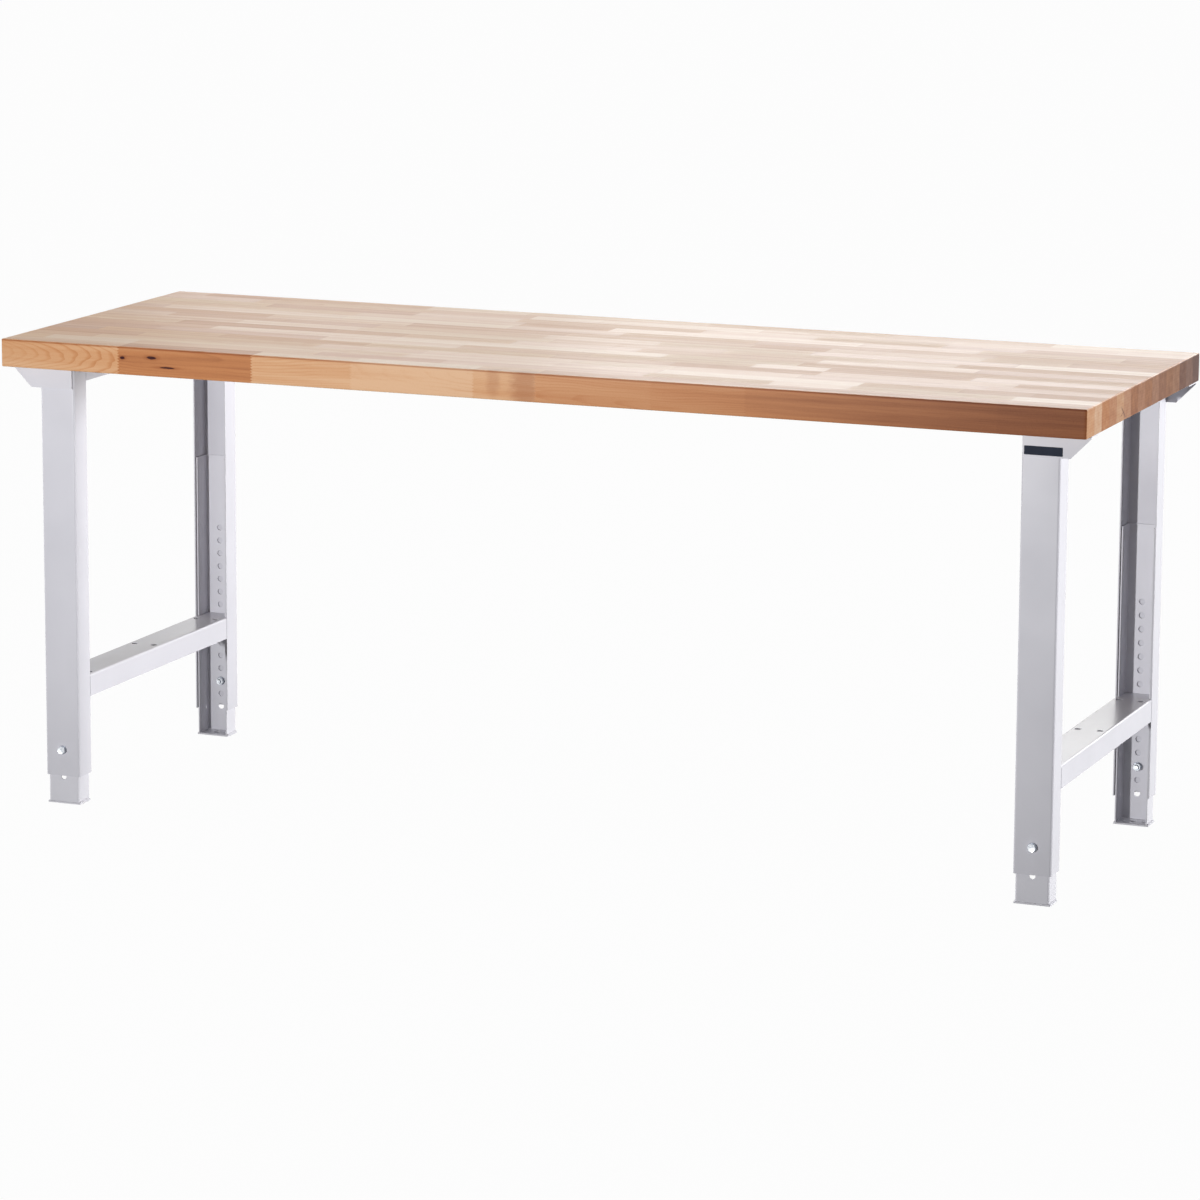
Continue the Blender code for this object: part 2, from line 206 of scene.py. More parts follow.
# %% Sizes of the staves
WORKTOP_LOW, WORKTOP_HIGH = corners("worktop")
WORKTOP_SIZE = WORKTOP_HIGH - WORKTOP_LOW
STAVE_ROWS = 16
STAVE_WIDTH = WORKTOP_SIZE.y / STAVE_ROWS
FINGER_LENGTH, FINGER_PITCH = .0045, .005
EDGE_ROUND, EDGE_SHADE_LINE = .0020, .0042
FRONT_JOINTS = (.235, .495, .685, .915, 1.030, 1.240, 1.410, 1.680, 1.850)
# The fourth front stave's tone of 0 is partly its own pale wood and partly a painted highlight, for
# the white floor mirrored in the front there.
FRONT_TONES_AND_HIGHLIGHT = (.15, .49, .08, .0, .14, .35, .38, .43, .42, .44)
FRONT_RINGS = (.80, .40, .60, .40, .35, .50, .40, .25, .20, .15)
FRONT_WARMTHS = (.50, .70, .40, .20, .50, .45, .50, .50, .45, .45)
print("worktop", [round(value, 3) for value in WORKTOP_SIZE], "stave", round(STAVE_WIDTH, 5))

# %% [markdown]
# The staves of a row meet in finger joints, milled and glued. Drawn in the material they cost no
# faces: near a stave's end, a zigzag decides which of the two staves a point belongs to. The
# worktop's ends are one cut across all rows, so there each row has a tone of its own, darker
# towards the rear.

# %% Staves and fingers
END_TONE, END_TONE_RISE, END_TONE_SPREAD = .20, .66, .40
beech, beech_shader, spot_at = new_finish("oiled_beech")
x, y, z = split(spot_at)


def stave(name, out="Fac"):
    """What the mesh says about the stave at a spot."""
    return add_node(beech.node_tree, "ShaderNodeAttribute", out=out, attribute_name=name)


finger = z.math("PINGPONG", FINGER_PITCH / 2) / (FINGER_PITCH / 2)
past_tip = x - (stave("stave_end") - finger * FINGER_LENGTH)
on_next = past_tip > 0.0


def own_or_next(name):
    """A value of this stave, or of the next one where its fingers reach in."""
    own = stave(name)
    return (stave("next_" + name) - own) * on_next + own


warmth, side_tone, end_grain = own_or_next("warmth"), own_or_next("tone"), stave("end_grain")
row = ((y - WORKTOP_LOW.y) / STAVE_WIDTH).math("FLOOR")
chance = add_node(beech.node_tree, "ShaderNodeTexWhiteNoise", {"W": row}, "Value",
                  noise_dimensions="1D")
end_tone = row * (END_TONE_RISE / STAVE_ROWS) + (END_TONE - END_TONE_SPREAD / 2)
end_tone = chance * END_TONE_SPREAD + end_tone
tone = (end_tone - side_tone) * end_grain + side_tone
print("fingers every", FINGER_PITCH, "m")

# %% [markdown]
# Every year a tree lays down pale early wood and then a thin darker band. So the distance from the
# pith, counted in ring widths, gives the band, and slow noises let the rings wander and fade.

# %% Growth rings
RING_WANDER, BAND_START, BAND_FULL, BAND_END = .012, .50, .92, .94
WANDER_WAVES, FADING_WAVES = (5, 26, 26), (6, 20, 20)
pith_y, pith_z, ring_width = split(stave("pith", "Vector"))
lean_y, lean_z, ring_depth = split(stave("lean", "Vector"))
away_y = y - (lean_y * x + pith_y)
away_z = z - (lean_z * x + pith_z)
radius = (away_y * away_y + away_z * away_z).math("SQRT")
wander = noise(spot_at, WANDER_WAVES, 3.0) * RING_WANDER + radius
ring = (wander / ring_width).math("FRACT")
late_wood = smooth_step(ring, BAND_START, BAND_FULL) * smooth_step(ring, 1.0, BAND_END)
fading = smooth_step(noise(spot_at, FADING_WAVES, 1.0, 4.0), .25, .70, .25, 1.0)
rings = late_wood * (fading * ring_depth)
print("rings wander by up to", RING_WANDER, "m")

# %% [markdown]
# The stave's tone, its rings, long streaks, fine fibres and the short flecks add up to one depth,
# and a ramp turns that into colour. The front gets painted shade that deepens towards its right
# end, where less light reaches it. End grain drinks more oil, so it gets a darker cast of its own;
# towards the rear that cast turns darker and bluer as painted shade and reflection.

# %% Colour of the beech
BEECH_TONES = ((0.0, (.80, .57, .370, 1)), (.25, (.69, .405, .215, 1)), (.50, (.57, .270, .119, 1)),
               (.75, (.39, .165, .073, 1)), (1.0, (.22, .080, .038, 1)))
WARM_CAST = (1.0, .96, .88, 1)
END_FRONT_CAST, END_REAR_OIL_AND_PAINTED_SHADE = (.56, .51, .50, 1), (.32, .37, .53, 1)
FRONT_PAINTED_SHADE, PAINTED_SHADE_START, PAINTED_SHADE_END = .45, .15, 1.05
RING_SHARE, STREAK_SHARE, FIBRE_SHARE, FLECK_SHARE = .26, .55, .16, .14
STREAK_WAVES, FIBRE_WAVES, FLECK_WAVES = (2.2, 75, 75), (14, 900, 900), (420, 2600, 2600)
streaks = noise(spot_at, STREAK_WAVES, 3.0, 9.0)
fibres = noise(spot_at, FIBRE_WAVES, 2.0, 21.0)
flecks = smooth_step(noise(spot_at, FLECK_WAVES, 0.0, 33.0), .62, .74)
on_front = y < WORKTOP_LOW.y + EDGE_ROUND / 2
# Painted shade: the front face gets darker towards its right end, where the key light falls off.
shade = smooth_step(x, PAINTED_SHADE_START, PAINTED_SHADE_END, 0.0, FRONT_PAINTED_SHADE) * on_front
depth = rings * RING_SHARE + (tone + shade)
depth = (streaks - .5) * STREAK_SHARE + depth
depth = (fibres - .5) * FIBRE_SHARE + depth
depth = flecks * FLECK_SHARE + depth
colour = mix_colour(warmth, colour_ramp(depth, BEECH_TONES), WARM_CAST, "MULTIPLY")
# End grain is darker from the oil; its shift to a darker, bluer cast towards the rear is painted
# shade and reflection.
end_oil_and_painted_shade = mix_colour(row / (STAVE_ROWS - 1), END_FRONT_CAST, END_REAR_OIL_AND_PAINTED_SHADE)
colour = mix_colour(end_grain, colour, end_oil_and_painted_shade, "MULTIPLY")
print("beech has", len(BEECH_TONES), "tones")

# %% [markdown]
# No board is perfect. The front has three small knots, each with a darker halo, and two brown
# stains that end with their stave. All are distances from a centre, made ragged by a noise. Two
# short slanting marks lie in the end grain on the right.

# %% Knots, stains and marks
# This cast darkens real stains, knot halos and glue lines, and also the painted shade under the
# front edge.
KNOT_COLOUR, STAIN_AND_SHADE_CAST = (.045, .008, .010, 1), (.58, .38, .28, 1)
KNOTS = ((.2415, .830, (.0050, .012, .0026)), (.299, .833, (.0095, .012, .0030)),
         (.328, .817, (.0175, .012, .0017)))
STAINS = ((1.010, .826, (.026, .020, .050), .60), (.950, .834, (.012, .020, .030), .35))
STAINED_STAVE = 4
END_MARKS = ((-.1335, .8145, -1.17, (.0045, .0135)), (-.1410, .8120, 3.10, (.0045, .0040)))
HALO_STRENGTH, MARK_STRENGTH = .45, .6
HALO_REACH, KNOT_REACH, STAIN_REACH, MARK_REACH = (2.4, .9), (1.10, .70), (1.5, .4), (1.0, .3)
RAGGED_WAVES = (60, 200, 200)
ragged = noise(spot_at, RAGGED_WAVES, 2.0, 2.0) - .5


def reach_from(along, up, size):
    """The distance from a place on the front, counted in the fault's own sizes."""
    centre = (WORKTOP_LOW.x + along, WORKTOP_LOW.y, up)
    offset = vector_math("DIVIDE", vector_math("SUBTRACT", spot_at, centre), size)
    return vector_math("LENGTH", offset, out="Value") + ragged


for along, up, size in KNOTS:
    reach = reach_from(along, up, size)
    halo = smooth_step(reach, *HALO_REACH, 0.0, HALO_STRENGTH)
    colour = mix_colour(halo, colour, STAIN_AND_SHADE_CAST, "MULTIPLY")
    colour = mix_colour(smooth_step(reach, *KNOT_REACH), colour, KNOT_COLOUR)
on_stave = (x < WORKTOP_LOW.x + FRONT_JOINTS[STAINED_STAVE]) - on_next
for along, up, size, strength in STAINS:
    stain = smooth_step(reach_from(along, up, size), *STAIN_REACH, 0.0, strength) * on_stave
    colour = mix_colour(stain, colour, STAIN_AND_SHADE_CAST, "MULTIPLY")
on_right_end = x > WORKTOP_HIGH.x - EDGE_ROUND / 2
for across, up, slant, (half_width, half_height) in END_MARKS:
    rise = z - up
    beside = (y - across) - rise * slant
    reach = (abs(beside) / half_width).math("MAXIMUM", abs(rise) / half_height)
    mark = smooth_step(reach, *MARK_REACH, 0.0, MARK_STRENGTH) * on_right_end
    colour = mix_colour(mark, colour, KNOT_COLOUR)
print("knots", len(KNOTS), "stains", len(STAINS), "end marks", len(END_MARKS))

# %% [markdown]
# Glue shows as a thin dark line where staves meet. A thin dark line just under the front's top edge
# is painted shade, for the dark that the small round-over shows there.
# Only the top is polished. Each stave took the oil differently, so some shine more than others.

# %% Glue, painted edge shade and polish
GLUE_STRENGTH, PAINTED_EDGE_SHADE_STRENGTH = .45, .75
JOINT_LINE, ROW_LINE, LINE_CORE = .0007, .0006, .0002
POLISH_EDGE, POLISH_TOP = .06, .28
SHEEN_SPREAD, SHINY, SATIN, FIBRE_ROUGHNESS = .6, .28, .37, .08
RING_RELIEF, GRAIN_BUMP, GRAIN_DEPTH = .5, .12, .0004
row_edge = (y - (WORKTOP_LOW.y - STAVE_WIDTH)).math("MODULO", STAVE_WIDTH)
row_edge = row_edge.math("MINIMUM", STAVE_WIDTH - row_edge)
at_joint = smooth_step(abs(past_tip), JOINT_LINE, LINE_CORE)
glue = at_joint.math("MAXIMUM", smooth_step(row_edge, ROW_LINE, LINE_CORE))
colour = mix_colour(glue * GLUE_STRENGTH, colour, STAIN_AND_SHADE_CAST, "MULTIPLY")
edge_low, edge_high = WORKTOP_HIGH.z - EDGE_ROUND, WORKTOP_HIGH.z - EDGE_ROUND / 5
# Painted shade: a thin dark line just under the front's top edge, for the dark that the small
# round-over shows.
painted_edge_shade = smooth_step(z, WORKTOP_HIGH.z - EDGE_SHADE_LINE, edge_low) * on_front
colour = mix_colour(painted_edge_shade * PAINTED_EDGE_SHADE_STRENGTH, colour, STAIN_AND_SHADE_CAST, "MULTIPLY")
sheen = smooth_step((streaks - .5) * SHEEN_SPREAD + warmth, .0, 1.0, SHINY, SATIN)
feed(beech_shader, {
    "Base Color": colour, "Roughness": fibres * FIBRE_ROUGHNESS + sheen,
    "Specular IOR Level": smooth_step(z, edge_low, edge_high, POLISH_EDGE, POLISH_TOP)})
bump(beech_shader, rings * RING_RELIEF + fibres, GRAIN_BUMP, GRAIN_DEPTH)
print("beech material has", len(beech.node_tree.nodes), "nodes")

# %% [markdown]
# ## The worktop
#
# A joiner glues the slab from rows of staves, and each row from shorter pieces with finger-jointed
# ends. Modelling each stave as a block would leave hundreds of hidden faces inside the slab, so
# one watertight grid is better: a Geometry Nodes tree makes a box with one row of faces per stave
# row, and reads from a small plan, which has a point for each stave, what that stave is like.
#
# All pieces grow the same way. A tree runs on an empty carrier, its result is kept as a plain
# mesh, and the piece rides on its body in the place of the CAD nodes that it replaces.

# %% Starting and ending a tree
def new_tree(name, inputs):
    """An empty Geometry Nodes tree with named inputs; gives the tree and its input wires."""
    tree = bpy.data.node_groups.new(name, "GeometryNodeTree")
    tree.is_modifier = True
    tree.interface.new_socket("Mesh", in_out="OUTPUT", socket_type="NodeSocketGeometry")
    for label, kind in inputs.items():
        tree.interface.new_socket(label, in_out="INPUT", socket_type="NodeSocket" + kind)
    outputs = tree.nodes.new("NodeGroupInput").outputs
    return tree, {label: Wire(outputs[label]) for label in inputs}


def geo(tree, kind, inputs=None, out=0, **settings):
    """Adds one node of the Geometry Nodes kind."""
    return add_node(tree, "GeometryNode" + kind, inputs, out, **settings)


def end_tree(geometry, material):
    """Ends a tree with Realize Instances and Set Material."""
    tree = geometry.tree
    real = geo(tree, "RealizeInstances", {0: geometry})
    painted = geo(tree, "SetMaterial", {"Geometry": real, "Material": material})
    feed(tree.nodes.new("NodeGroupOutput"), {0: painted})
    print("tree", tree.name, "has", len(tree.nodes), "nodes")
    return tree


print("tree helpers ready")

# %% Growing a piece from a tree
BEVEL_ANGLE = math.radians(40)


def grow(name, tree, values, body, replaced=(), edge_round=0.0):
    """Runs a tree and sets the result on a body; the plans among the values are used up."""
    carrier = bpy.data.objects.new(name + "_carrier", bpy.data.meshes.new(name + "_carrier"))
    scene.collection.objects.link(carrier)
    nodes = carrier.modifiers.new("nodes", "NODES")
    nodes.node_group = tree
    for item in tree.interface.items_tree:
        if item.in_out == "INPUT" and item.name in values:
            nodes[item.identifier] = values[item.name]
    if edge_round:
        rounded = carrier.modifiers.new("edges", "BEVEL")
        rounded.width, rounded.segments, rounded.limit_method = edge_round, 2, "ANGLE"
        rounded.angle_limit = BEVEL_ANGLE
        carrier.modifiers.new("normals", "WEIGHTED_NORMAL")
    bpy.context.view_layer.update()
    graph = bpy.context.evaluated_depsgraph_get()
    mesh = bpy.data.meshes.new_from_object(carrier.evaluated_get(graph))
    mesh.name = name
    mesh.materials.clear()
    mesh.materials.append(values["Material"])
    mesh.polygons.foreach_set("material_index", [0] * len(mesh.polygons))
    for used in (carrier, *values.values()):
        if isinstance(used, bpy.types.Object):
            bpy.data.objects.remove(used)
    piece = bpy.data.objects.new(name, mesh)
    scene.collection.objects.link(piece)
    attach(piece, body)
    if replaced:
        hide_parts(*replaced)
    print(name, "has", sum(len(face.vertices) - 2 for face in mesh.polygons), "triangles")


print("edges over", round(math.degrees(BEVEL_ANGLE)), "degrees get rounded")

# %% [markdown]
# The plan has one point per stave, at the stave's left end, and the rows lie far apart in it, so
# that the nearest point is always one of the right row. The front row follows its lists. The
# others are drawn by chance with a fixed seed, so that every run gives the same slab.

# %% Hidden plans
def hidden_plan(name, points, values, edges=(), faces=()):
    """A mesh of points, edges or faces that a tree reads; values are attributes of the points."""
    mesh = bpy.data.meshes.new(name)
    mesh.from_pydata(points, edges, faces)
    for label, numbers in values.items():
        plain = isinstance(numbers[0], (int, float))
        attribute = mesh.attributes.new(label, "FLOAT" if plain else "FLOAT_VECTOR", "POINT")
        for entry, number in zip(attribute.data, numbers):
            setattr(entry, "value" if plain else "vector", number)
    plan = bpy.data.objects.new(name, mesh)
    scene.collection.objects.link(plan)
    return plan


print("plans ready")

# %% Rows of staves
STAVE_SHORTEST, STAVE_LONGEST, STAVE_STUB = .12, .38, .06
COLUMN_LENGTH = .005


def in_columns(length):
    """A length in whole columns of the slab's grid."""
    return round(length / COLUMN_LENGTH) * COLUMN_LENGTH


def row_starts(draw, row):
    """Where the staves of a row start."""
    if not row:
        return [0.0, *FRONT_JOINTS]
    stops = [in_columns(draw.uniform(STAVE_STUB, STAVE_LONGEST))]
    while stops[-1] < WORKTOP_SIZE.x - STAVE_SHORTEST:
        stops.append(stops[-1] + in_columns(draw.uniform(STAVE_SHORTEST, STAVE_LONGEST)))
    return [0.0] + [stop for stop in stops if stop < WORKTOP_SIZE.x - STAVE_STUB]


print("staves from", STAVE_SHORTEST, "to", STAVE_LONGEST, "m")

# %% Plan of the staves
STAVE_SEED = 11
ROW_SPREAD = 10.0
LEAN_RANGES = (-.10, .10), (-.05, .05)
PITH_RANGES = (-.07, .07), (-.05, .10)
TONE_RANGE, RING_RANGE, RING_DEPTH_RANGE = (.02, .44), (.0022, .0042), (.15, .75)
ARCHED_LEAN, ARCHED_PITH = (.125, 0.0), (.004, .026)


def plan_staves():
    draw = random.Random(STAVE_SEED)
    points = []
    values = {label: [] for label in (
        "tone", "next_tone", "warmth", "next_warmth", "stave_end", "pith", "lean")}
    for row in range(STAVE_ROWS):
        starts = row_starts(draw, row)
        tones = [draw.uniform(*TONE_RANGE) for each in starts] if row else FRONT_TONES_AND_HIGHLIGHT
        warmths = [draw.uniform(0, 1) for each in starts] if row else FRONT_WARMTHS
        middle = WORKTOP_LOW.y + (row + .5) * STAVE_WIDTH
        for index, start in enumerate(starts):
            left = WORKTOP_LOW.x + start
            end = (starts + [WORKTOP_SIZE.x])[index + 1]
            following = min(index + 1, len(starts) - 1)
            lean = [draw.uniform(*limits) for limits in LEAN_RANGES]
            aside = [draw.uniform(*limits) for limits in PITH_RANGES]
            if not row and not index:
                lean, aside = ARCHED_LEAN, ARCHED_PITH
            pith = (middle + aside[0] - lean[0] * left,
                    WORKTOP_LOW.z + aside[1] - lean[1] * left, draw.uniform(*RING_RANGE))
            lean = (*lean, draw.uniform(*RING_DEPTH_RANGE) if row else FRONT_RINGS[index])
            points.append((left, row * ROW_SPREAD, 0))
            found = (tones[index], tones[following], warmths[index], warmths[following],
                     WORKTOP_LOW.x + end, pith, lean)
            for label, value in zip(values, found):
                values[label].append(value)
    return hidden_plan("stave_plan", points, values)


stave_plan = plan_staves()
print("staves planned:", len(stave_plan.data.vertices))

# %% [markdown]
# In the tree, each face of the box asks for the last point in its row that starts left of it, and
# stores what that point says. The faces on the ends are marked as end grain.

# %% Reading a plan
def shape_of(source):
    """The mesh of an object that a tree reads."""
    return geo(source.tree, "ObjectInfo", {"Object": source}, "Geometry")


def read(tree, label, kind="FLOAT_VECTOR"):
    """An attribute of the points that a tree works on."""
    return geo(tree, "InputNamedAttribute", {"Name": label}, data_type=kind)


print("plans can be read")

# %% Tree of the slab
END_FACING = .7
STAVE_VALUES = {"tone": "FLOAT", "warmth": "FLOAT", "next_tone": "FLOAT", "next_warmth": "FLOAT",
                "stave_end": "FLOAT", "pith": "FLOAT_VECTOR", "lean": "FLOAT_VECTOR"}


def staved_slab_tree():
    tree, sizes = new_tree("staved_slab", {
        "Size": "Vector", "Centre": "Vector", "Columns": "Int", "Rows": "Int",
        "Stave Width": "Float", "Front": "Float", "Row Spread": "Float", "Plan": "Object",
        "Material": "Material"})
    box = geo(tree, "MeshCube", {
        "Size": sizes["Size"], "Vertices X": sizes["Columns"] + 1,
        "Vertices Y": sizes["Rows"] + 1, "Vertices Z": 2})
    slab = geo(tree, "Transform", {"Geometry": box, "Translation": sizes["Centre"]})
    plan = shape_of(sizes["Plan"])
    position = geo(tree, "InputPosition")

    def from_plan(kind, value, index):
        inputs = {"Geometry": plan, "Value": value, "Index": index}
        return geo(tree, "SampleIndex", inputs, data_type=kind, domain="POINT")

    def store(geometry, kind, label, value):
        inputs = {"Geometry": geometry, "Name": label, "Value": value}
        return geo(tree, "StoreNamedAttribute", inputs, data_type=kind, domain="FACE")

    x, y, z = split(position)
    row = ((y - sizes["Front"]) / sizes["Stave Width"]).math("FLOOR")
    row = row.math("MINIMUM", sizes["Rows"] - 1)
    asked = add_node(tree, "ShaderNodeCombineXYZ", {0: x, 1: row * sizes["Row Spread"]})
    nearest = geo(tree, "SampleNearest", {"Geometry": plan, "Sample Position": asked})
    start_x = split(from_plan("FLOAT_VECTOR", position, nearest))[0]
    last = nearest - (start_x - x > COLUMN_LENGTH / 10)
    for label, kind in STAVE_VALUES.items():
        slab = store(slab, kind, label, from_plan(kind, read(tree, label, kind), last))
    normal_x = split(geo(tree, "InputNormal"))[0]
    slab = store(slab, "FLOAT", "end_grain", abs(normal_x) > END_FACING)
    return end_tree(slab, sizes["Material"])


staved_slab = staved_slab_tree()

# %% Worktop
grow("staved_worktop", staved_slab, {
    "Size": WORKTOP_SIZE, "Centre": (WORKTOP_LOW + WORKTOP_HIGH) / 2,
    "Columns": round(WORKTOP_SIZE.x / COLUMN_LENGTH), "Rows": STAVE_ROWS,
    "Stave Width": STAVE_WIDTH, "Front": WORKTOP_LOW.y, "Row Spread": ROW_SPREAD,
    "Plan": stave_plan, "Material": beech}, "bench", ["worktop"], EDGE_ROUND)

# %% [markdown]
# ## The grey paint
#
# The frames are powder coated: a light grey with a trace of lilac, satin, with the fine waviness
# that baked powder always keeps. A slow noise gives the colour and the sheen faint clouds, a very
# fine one adds grain, and a third one gives the waviness as a bump, because it is far too shallow
# to model. The feet get a lighter copy of the same coat, painted light for what the white floor
# throws on the lower legs. The bolts and screws are zinc plated, which shows as a metal with a
# faint spangle; the washers get a darker copy of the zinc, painted shade for the dark around the
# bolt heads.

# %% Powder coat and zinc
PAINT_GREY, PAINT_SHADE = (.630, .625, .675, 1), (.580, .575, .625, 1)
# Painted light: the feet's coat is the frame's coat made lighter, for the light that the white
# floor throws on the lower legs.
FLOOR_LIT_FOOT_GREY, FLOOR_LIT_FOOT_SHADE = (.690, .685, .735, 1), (.640, .635, .685, 1)
BRIGHT_ZINC, BRIGHT_SHADE = (.74, .76, .78, 1), (.52, .55, .60, 1)
# Painted shade: the washers' zinc is a darker copy of the bolts' zinc, for the dark around the bolt
# heads.
SHADED_WASHER_ZINC, SHADED_WASHER_ZINC_LOW = (.36, .38, .43, 1), (.22, .24, .28, 1)
RAMP_LOW, RAMP_HIGH = .30, .70
GRAIN_SHARE, CLOUD_SHARE = .35, .65
PAINT_ROUGHNESS, ZINC_ROUGHNESS = (.20, .27), (.22, .36)
CLOUD_WAVES, GRAIN_WAVES, PEEL_WAVES = (7, 7, 7), (1500, 1500, 1500), (420, 420, 420)
SPANGLE_WAVES, FINE_WAVES = (260, 260, 260), (2200, 2200, 2200)
PEEL_BUMP, FINE_BUMP, BUMP_DEPTH = .06, .08, .0002


def make_paint(name, shade, grey):
    material, shader, place = new_finish(name)
    cloud = noise(place, CLOUD_WAVES, 3.0)
    grain = noise(place, GRAIN_WAVES, 1.0, 5.0)
    peel = noise(place, PEEL_WAVES, 1.0, 8.0)
    tint = grain * GRAIN_SHARE + cloud * CLOUD_SHARE
    feed(shader, {"Base Color": colour_ramp(tint, ((RAMP_LOW, shade), (RAMP_HIGH, grey))),
                  "Roughness": smooth_step(cloud, .25, .75, *PAINT_ROUGHNESS)})
    bump(shader, peel, PEEL_BUMP, BUMP_DEPTH)
    return material


def make_zinc(name, shade, bright):
    material, shader, place = new_finish(name)
    spangle = noise(place, SPANGLE_WAVES, 3.0)
    fine = noise(place, FINE_WAVES, 1.0, 3.0)
    feed(shader, {"Base Color": colour_ramp(spangle, ((RAMP_LOW, shade), (RAMP_HIGH, bright))),
                  "Roughness": smooth_step(spangle, .25, .75, *ZINC_ROUGHNESS),
                  "Metallic": 1.0})
    bump(shader, fine, FINE_BUMP, BUMP_DEPTH)
    return material


frame_paint = make_paint("frame_powder_coat", PAINT_SHADE, PAINT_GREY)
# The lighter foot coat is painted floor light on the lower legs.
foot_paint = make_paint("floor_lit_foot_coat", FLOOR_LIT_FOOT_SHADE, FLOOR_LIT_FOOT_GREY)
bright_zinc = make_zinc("bright_zinc", BRIGHT_SHADE, BRIGHT_ZINC)
# Darker zinc for the washers, painted shade around the bolt heads.
painted_shade_zinc = make_zinc("painted_shade_zinc", SHADED_WASHER_ZINC_LOW, SHADED_WASHER_ZINC)
print("paint and zinc ready")

# %% [markdown]
# ## The folded steel
#
# Uprights, rails, brackets and feet are cut from sheet, punched and folded. One tree makes them
# all: an outline whose bends get rounded, swept to its length, with the holes and corners cut
# out, and the finished piece set on each of its seats. Working from an outline keeps every bend
# a true arc, and a change of one number changes every piece of that kind.

# %% Joining, setting and smoothing
def join(*parts):
    """A Join Geometry node."""
    made = parts[0].tree.nodes.new("GeometryNodeJoinGeometry")
    for part in parts:
        feed(made, {0: part})
    return Wire(made.outputs[0])


def set_on(points, shape, scale=(1, 1, 1)):
    """Sets a shape on points, turned by their attribute, and makes the copies real."""
    tree = points.tree
    turn = add_node(tree, "FunctionNodeEulerToRotation", {0: read(tree, "turn")})
    placed = geo(tree, "InstanceOnPoints", {
        "Points": points, "Instance": shape, "Rotation": turn, "Scale": scale})
    return geo(tree, "RealizeInstances", {0: placed})


def smooth(geometry):
    """A Set Shade Smooth node."""
    inputs = {"Geometry": geometry, "Shade Smooth": True}
    return geo(geometry.tree, "SetShadeSmooth", inputs)


print("joining, setting and smoothing ready")

# %% Tree of a folded piece
MERGE_DISTANCE = 1e-6


def folded_steel_tree():
    tree, sizes = new_tree("folded_steel", {
        "Outline": "Object", "Bend Steps": "Int", "Length": "Float", "Holes": "Object",
        "Punch Sides": "Int", "Cutter": "Object", "Seats": "Object", "Material": "Material"})
    line = geo(tree, "MeshToCurve", {"Mesh": shape_of(sizes["Outline"])})
    bends = {"Curve": line, "Count": sizes["Bend Steps"], "Radius": read(tree, "bend", "FLOAT")}
    bent = geo(tree, "FilletCurve", bends, mode="POLY")
    sheet = geo(tree, "FillCurve", {"Curve": bent}, mode="NGONS")
    swept = geo(tree, "ExtrudeMesh", {
        "Mesh": sheet, "Offset": (0, 0, 1), "Offset Scale": sizes["Length"],
        "Individual": False}, mode="FACES")
    whole = join(swept, geo(tree, "FlipFaces", {"Mesh": sheet}))
    closed = geo(tree, "MergeByDistance", {"Geometry": whole, "Distance": MERGE_DISTANCE})
    punch = geo(tree, "MeshCylinder", {
        "Vertices": sizes["Punch Sides"], "Radius": 1.0, "Depth": 1.0})
    punches = set_on(shape_of(sizes["Holes"]), punch, read(tree, "size"))
    tools = join(punches, shape_of(sizes["Cutter"]))
    punched = geo(tree, "MeshBoolean", {"Mesh 1": closed, "Mesh 2": tools},
                  operation="DIFFERENCE", solver="EXACT")
    return end_tree(set_on(shape_of(sizes["Seats"]), smooth(punched)), sizes["Material"])


folded_steel = folded_steel_tree()

# %% [markdown]
# An outline is drawn as a maker would sketch it on the bench: across, up, and the radius of each
# bend. Holes and cut-off corners are tools that the tree takes away, and a seat is a place with
# the angles that the piece is turned by.

# %% Outlines
BEND_INNER = .0015


def channel_outline(width, depth, wall):
    """A folded channel; the web lies at the bottom."""
    half, outer = width / 2, BEND_INNER + wall
    inside = half - wall
    return [(-half, depth, 0), (-half, 0, outer), (half, 0, outer), (half, depth, 0),
            (inside, depth, 0), (inside, wall, BEND_INNER), (-inside, wall, BEND_INNER),
            (-inside, depth, 0)]


def plate_outline(low, high, corner):
    """A flat plate with rounded corners."""
    return [(low[0], low[1], corner), (high[0], low[1], corner), (high[0], high[1], corner),
            (low[0], high[1], corner)]


def outline_plan(points):
    """A closed line through the points of an outline."""
    edges = [(here, (here + 1) % len(points)) for here in range(len(points))]
    return hidden_plan("outline", [(across, up, 0) for across, up, bend in points],
                       {"bend": [bend for across, up, bend in points]}, edges)


print("bends have an inner radius of", BEND_INNER, "m")

# %% Seats, holes and cutters
def seat_plan(seats):
    """Points that carry a turn; a seat is a place and its Euler angles."""
    return hidden_plan("seats", [place for place, turn in seats],
                       {"turn": [turn for place, turn in seats]})


def hole_plan(holes):
    """Points for the punch; a hole is a place, a diameter, a depth and its Euler angles."""
    return hidden_plan("holes", [hole[0] for hole in holes], {
        "size": [(across / 2, across / 2, depth) for place, across, depth, turn in holes],
        "turn": [hole[3] for hole in holes]})


def prism_plan(prisms):
    """Closed prisms to cut away; each is a list of corners at its start and one at its end."""
    points, faces = [], []
    for start, end in prisms:
        first, count = len(points), len(start)
        points += [*start, *end]
        faces.append([first + index for index in range(count)][::-1])
        faces.append([first + count + index for index in range(count)])
        for index in range(count):
            here, after = first + index, first + (index + 1) % count
            faces.append([here, after, after + count, here + count])
    plan = hidden_plan("cutter", points, {}, (), faces)
    shape = bmesh.new()
    shape.from_mesh(plan.data)
    bmesh.ops.recalc_face_normals(shape, faces=shape.faces)
    shape.to_mesh(plan.data)
    shape.free()
    return plan


print("seats, holes and cutters ready")

# %% Folding a piece
SHEET_EDGE = .0003
BEND_STEPS = 5
PUNCH_SIDES = 32


